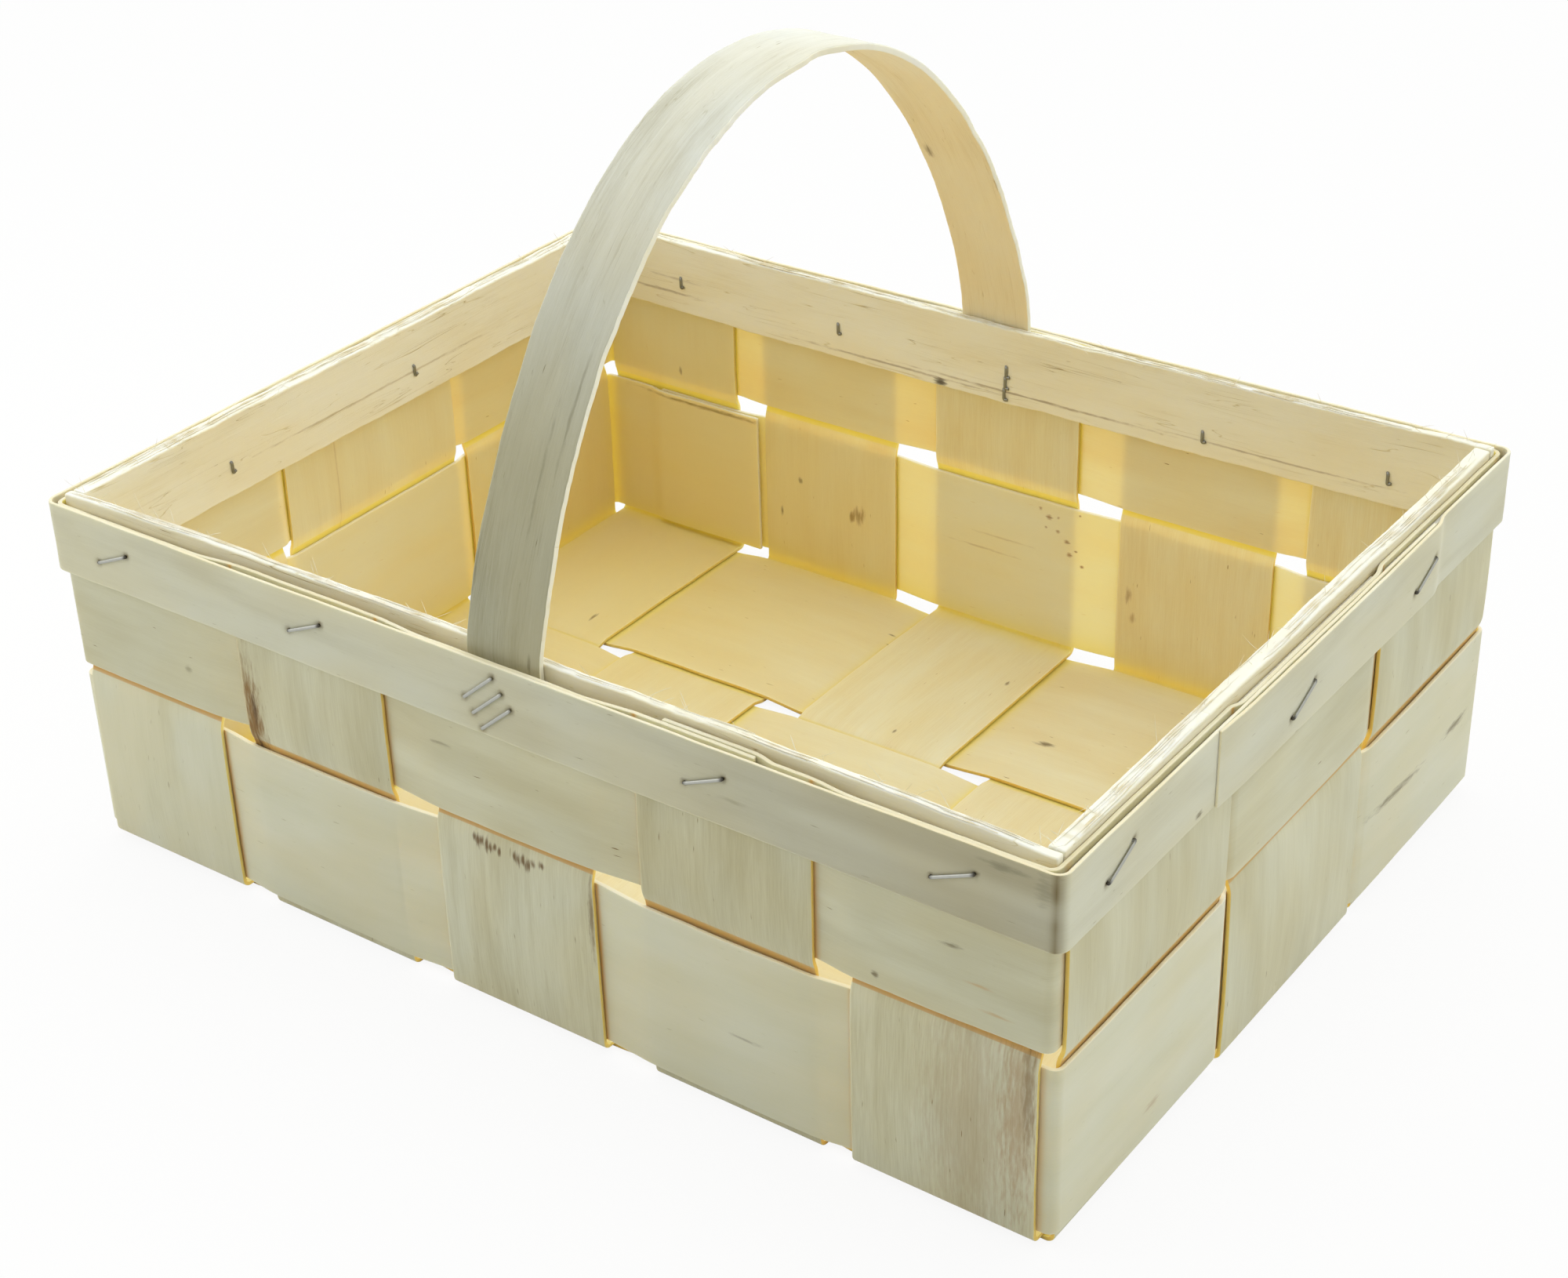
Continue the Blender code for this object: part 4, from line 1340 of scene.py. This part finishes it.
# How far each arch is pulled up from its foot and out from the top, front first
ARCH_SHARES = ((0.11, 0.72), (0.19, 0.68))
ARCH_STEPS = 140


def handle_path():
    """Side view of the handle: up from the front foot, over the arch and down to the back foot."""
    apex = Vector((HANDLE_APEX_SHIFT, HANDLE_HIGH.z - HANDLE_THICKNESS / 2))
    path = []
    for side, (spring_share, shoulder_share) in zip((-1, 1), ARCH_SHARES):
        spring = Vector((side * HANDLE_FOOT, RIM_HEIGHT))
        rise = Vector((0, (apex.y - spring.y) * spring_share))
        reach = Vector(((spring.x - apex.x) * shoulder_share, 0))
        half = interpolate_bezier(spring, spring + rise, apex + reach, apex, ARCH_STEPS + 1)
        half = [Vector((side * HANDLE_FOOT, HANDLE_LOW.z)), *(point.xy for point in half)]
        path.extend(half if side < 0 else reversed(half[:-1]))
    return divided(path, HANDLE_GRID)


# %% Edges and faces of the handle
HANDLE_EDGE_BREAK = 0.4 * MM
HANDLE_HALF_WIDTH = 21.5 * MM / 2
HANDLE_FRONT_X = 0.3 * MM
HANDLE_BACK_X = -2.4 * MM
HANDLE_LOOK = (0.42, 0.8)
EDGE_SEEDS = (61, 62)
EDGE_FRAYS = (1.8, 2.6)
CHIP_DEPTH = 2.2 * MM
CHIP_LENGTH = 17 * MM
CHIP_FROM = 0.1
CHIP_SEED = (5.0, 64)
HANDLE_RELIEF = 0.20 * MM
RIDGE_LENGTH = 24 * MM
RIDGES_ACROSS = 9.0
RIDGE_DRIFT = 0.12
RIDGE_DRIFT_LENGTH = 45 * MM
# Painted shade: the handle's legs are drawn greyer and darker, fading out towards the top
HANDLE_SHADE = 0.62
HANDLE_SHADE_FROM = 142 * MM
HANDLE_SHADE_TO = 202 * MM


def handle_edges(place, along):
    """The handle's two long edges, skewed from the front foot to the back one, with chips off the second."""
    skew = (HANDLE_BACK_X - HANDLE_FRONT_X) / (2 * HANDLE_FOOT)
    middle = (HANDLE_FRONT_X + HANDLE_BACK_X) / 2 + skew * place.x
    first, second = (wander(along, seed, fray) for seed, fray in zip(EDGE_SEEDS, EDGE_FRAYS))
    chip = CHIP_DEPTH * max(noise_at(along / CHIP_LENGTH, *CHIP_SEED) - CHIP_FROM, 0)
    return middle - HANDLE_HALF_WIDTH + first, middle + HANDLE_HALF_WIDTH + second - chip


def handle_lift(place, along, share):
    """Shallow ridges along the lath, which drift from side to side as its fibres do."""
    drift = RIDGE_DRIFT * noise_at(along / RIDGE_DRIFT_LENGTH, 0.0, EDGE_SEEDS[0])
    return HANDLE_RELIEF * noise_at(along / RIDGE_LENGTH, (share + drift) * RIDGES_ACROSS, EDGE_SEEDS[1])


def handle_painted_shade(place, along, share):
    """Painted shade: the handle's legs are drawn greyer and darker, and the top stays bright."""
    risen = min(max((place.y - HANDLE_SHADE_FROM) / (HANDLE_SHADE_TO - HANDLE_SHADE_FROM), 0.0), 1.0)
    return HANDLE_SHADE * (1 - risen * risen * (3 - 2 * risen))


strip(
    "bow_handle", (handle_outside, handle_inside, slat_top),
    handle_path(), CROSSWISE, -1, HANDLE_THICKNESS,
    handle_edges,
    handle_lift,
    HANDLE_LOOK,
    grid=HANDLE_GRID,
    edge_break=HANDLE_EDGE_BREAK,
    painted_light_and_marks=handle_painted_shade,
)

# %% [markdown]
# ## Wire staples
# The staples are zinc-coated steel wire, flattened where the stapler bent and struck it. The wire is drawn
# bright on the crown and darker towards the bends and the tips, and darker still inside the rim. The crown
# lies on the band, the legs pass through the rim, and the tips are clenched down on the slat's inside. A
# curve with round bends is drawn thinner in depth than in width, which gives the flattened wire.

# %% Zinc-coated wire
WIRE_BRIGHT = "#B9BAB2"
WIRE_DARK = "#4E4B44"
WIRE_ROUGHNESS = 0.42
WIRE_SPOT = 1.5 * MM
WIRE_SPOTS = 0.25
BRIGHT_HALF = 4.2 * MM
DARK_HALF = 5.8 * MM
BEHIND_BAND = 1.5 * MM
DULL_INSIDE = 0.45

zinc_wire, tree, shader = new_finish("zinc_coated_staple_wire")
where = add_node(tree, "TexCoord").outputs["Object"]
axes = add_node(tree, "SeparateXYZ", {0: where}).outputs
aside = add_node(tree, "Math", {0: axes["X"]}, operation="ABSOLUTE")
inputs = {"Value": aside, "From Min": BRIGHT_HALF, "From Max": DARK_HALF}
near_bends = add_node(tree, "MapRange", inputs, interpolation_type="SMOOTHSTEP")
inputs = {"Value": axes["Y"], "From Min": BEHIND_BAND, "From Max": 2 * BEHIND_BAND, "To Max": DULL_INSIDE}
inner = add_node(tree, "MapRange", inputs, interpolation_type="SMOOTHSTEP")
dull = add_node(tree, "Math", {0: near_bends, 1: inner}, operation="MAXIMUM")
inputs = {"Vector": where, "Scale": 1 / WIRE_SPOT, "Detail": SOFT}
spots = add_node(tree, "TexNoise", inputs).outputs["Fac"]
inputs = {0: spots, 1: WIRE_SPOTS, 2: dull}
patchy = add_node(tree, "Math", inputs, operation="MULTIPLY_ADD", use_clamp=True)
inputs = {"Factor": patchy, MIX_A: linear(WIRE_BRIGHT), MIX_B: linear(WIRE_DARK)}
coat = add_node(tree, "Mix", inputs, data_type="RGBA").outputs[MIX_RESULT]
feed(tree, shader, {"Base Color": coat, "Metallic": 1.0, "Roughness": WIRE_ROUGHNESS})

# %% Bent wire
WIRE_FLATNESS = 0.65
WIRE_BEND = 0.9 * MM
BEND_STEPS = 4
WIRE_SMOOTHNESS = 3
SINK = 0.35 * MM
STAPLE_TIP = 3.4 * MM
STAPLE_TIP_SPREAD = 0.7 * MM
STAPLE_TIP_HOOK = 0.5 * MM


def rounded_wire(points):
    """The wire's points, with every bend rounded."""
    path = [points[0]]
    for before, corner, after in zip(points, points[1:], points[2:]):
        back = before - corner
        ahead = after - corner
        reach = min(WIRE_BEND, REACH_SHARE * back.length, REACH_SHARE * ahead.length)
        start = corner + back.normalized() * reach
        end = corner + ahead.normalized() * reach
        for step in range(BEND_STEPS + 1):
            share = step / BEND_STEPS
            path.append(start.lerp(corner, share).lerp(corner.lerp(end, share), share))
    path.append(points[-1])
    return path


def wire_points(wall, along, tilt):
    """A staple's bends in its own frame: x along the wall, y into the wall and z up."""
    outside = BAND_LAP_LAYER - BAND_LAYER if wall == RIGHT and BAND_LAP[0] < along < BAND_LAP[1] else 0
    crown_depth = outside - CLEARANCE - STAPLE_WIRE / 2 + SINK
    tip_depth = slat_depths(wall, along)[1] + STAPLE_WIRE / 2 * WIRE_FLATNESS
    bends = (
        (STAPLE_TIP_HOOK, tip_depth, STAPLE_TIP),
        (-STAPLE_TIP_SPREAD, tip_depth, STAPLE_TIP),
        (-STAPLE_TIP_SPREAD, tip_depth, 0),
        (-STAPLE_HALF, crown_depth, 0),
        (STAPLE_HALF, crown_depth, 0),
        (STAPLE_TIP_SPREAD, tip_depth - STAPLE_WIRE, 0),
    )
    return [
        Vector((aside * math.cos(tilt), depth / WIRE_FLATNESS, aside * math.sin(tilt) - drop))
        for aside, depth, drop in bends
    ]


def wire_frame(wall, along, height):
    """Where a staple's own frame stands in the rim, with the depth drawn thinner."""
    run = along_wall(wall)
    inward = -WALL_OUTWARD[wall] * WIRE_FLATNESS
    start = wall_place(wall, along, 0)
    rows = ((run.x, inward.x, 0, start.x), (run.y, inward.y, 0, start.y), (0, 0, 1, height), (0, 0, 0, 1))
    return Matrix(rows)


for node, (wall, along, height, tilt) in staples.items():
    staple = add_curve(f"{node}_wire", STAPLE_WIRE / 2, WIRE_SMOOTHNESS)
    staple.data.use_fill_caps = True
    points = rounded_wire(wire_points(wall, along, tilt))
    draw_line(staple.data, points, [1.0] * len(points))
    staple.matrix_world = wire_frame(wall, along, height)
    hand_over(staple, node, [zinc_wire])
print("wires made:", len(staples))

# %% [markdown]
# ## Stage and light
# The basket stands on a plain white floor in an even white surround. The floor takes a soft shadow, and the
# camera sees it nearly white, as a light table would show it. The surround is brighter behind and above the
# basket than in front of it, so that light comes through the thin wood towards the camera. Gloss and glass
# see the same white as the camera, and only the light that falls on the basket has the softer levels.

# %% Floor
FLOOR_SIZE = 8.0
FLOOR_DROP = 0.2 * MM
FLOOR_SEEN_WHITE = 0.90
FLOOR_PAPER = "#ECECEA"
WHITE = (1, 1, 1, 1)


def seen_rays(tree):
    """1 for what the camera sees, straight, in gloss or through glass, and 0 for what lights the basket."""
    rays = add_node(tree, "LightPath").outputs
    seen = rays["Is Camera Ray"]
    for kind in ("Is Glossy Ray", "Is Transmission Ray"):
        seen = add_node(tree, "Math", {0: seen, 1: rays[kind]}, operation="MAXIMUM").outputs[0]
    return seen


reach = FLOOR_SIZE / 2
floor_mesh = bpy.data.meshes.new("floor")
floor_corners = [(-reach, -reach, 0), (reach, -reach, 0), (reach, reach, 0), (-reach, reach, 0)]
floor_mesh.from_pydata(floor_corners, [], [(0, 1, 2, 3)])
floor = add_object("floor", floor_mesh)
floor.location.z = -FLOOR_DROP
paper, tree, _ = new_finish("white_paper_floor")
tree.nodes.clear()
matt = add_node(tree, "BsdfDiffuse", {"Color": linear(FLOOR_PAPER)})
glow = add_node(tree, "Emission", {"Color": WHITE, "Strength": 1.0})
share = add_node(tree, "Math", {0: seen_rays(tree), 1: FLOOR_SEEN_WHITE}, operation="MULTIPLY")
both = add_node(tree, "MixShader", {0: share, 1: matt, 2: glow})
add_node(tree, "OutputMaterial", {"Surface": both})
floor_mesh.materials.append(paper)

# %% Surround
SURROUND_FRONT = 0.0
SURROUND_BACK = 1.50
SURROUND_COLOUR = "#FDFEFC"
BRIGHT_SIDE = Vector((-0.10, 0.80, 0.45)).normalized()

world = bpy.data.worlds.new("white_surround")
bpy.context.scene.world = world
world.use_nodes = True
tree = world.node_tree
tree.nodes.clear()
toward = add_node(tree, "TexCoord").outputs["Generated"]
facing = add_node(tree, "VectorMath", {0: toward, 1: BRIGHT_SIDE}, operation="DOT_PRODUCT").outputs["Value"]
inputs = {"Value": facing, "From Min": -1.0, "To Min": SURROUND_FRONT, "To Max": SURROUND_BACK}
level = add_node(tree, "MapRange", inputs)
soft = add_node(tree, "Background", {"Color": linear(SURROUND_COLOUR), "Strength": level})
plain = add_node(tree, "Background", {"Color": WHITE, "Strength": 1.0})
both = add_node(tree, "MixShader", {0: seen_rays(tree), 1: soft, 2: plain})
add_node(tree, "OutputWorld", {"Surface": both})

# %% Soft boxes
# Each soft box: its place and what it is aimed at, then its size in metres and its power in watts
SOFT_BOXES = (
    ("soft_box_left", Vector((-0.55, -0.50, 0.30)), Vector((-0.10, -0.11, 0.06)), 0.45, 0.9),
    ("soft_box_above", Vector((-0.10, 0.10, 1.00)), Vector((0.0, 0.0, 0.0)), 0.60, 1.38),
)

for name, place, aim, size, watts in SOFT_BOXES:
    lamp = add_object(name, bpy.data.lights.new(name, "AREA"))
    lamp.data.size = size
    lamp.data.energy = watts
    lamp.location = place
    lamp.rotation_mode = "QUATERNION"
    lamp.rotation_quaternion = (aim - place).to_track_quat("-Z", "Y")

# %% [markdown]
# ## Camera
# The camera looks down into the basket from its front right corner. Its place and its lens were worked out
# from the corners of the rim in the photograph.

# %% Camera
CAMERA_PLACE = (0.3714, -0.5059, 0.4234)
CAMERA_AZIMUTH = math.radians(36.32)
CAMERA_ELEVATION = math.radians(30.52)
CAMERA_ROLL = math.radians(-1.67)
CAMERA_LENS = 63.37
SENSOR_WIDTH = 36

camera = add_object("camera", bpy.data.cameras.new("camera"))
camera.data.lens = CAMERA_LENS
camera.data.sensor_width = SENSOR_WIDTH
turn = Matrix.Rotation(CAMERA_AZIMUTH, 4, "Z")
tip = Matrix.Rotation(math.pi / 2 - CAMERA_ELEVATION, 4, "X")
roll = Matrix.Rotation(CAMERA_ROLL, 4, "Z")
camera.matrix_world = Matrix.Translation(CAMERA_PLACE) @ turn @ tip @ roll
bpy.context.scene.camera = camera

# %% Colour management
bpy.context.scene.view_settings.view_transform = "Standard"
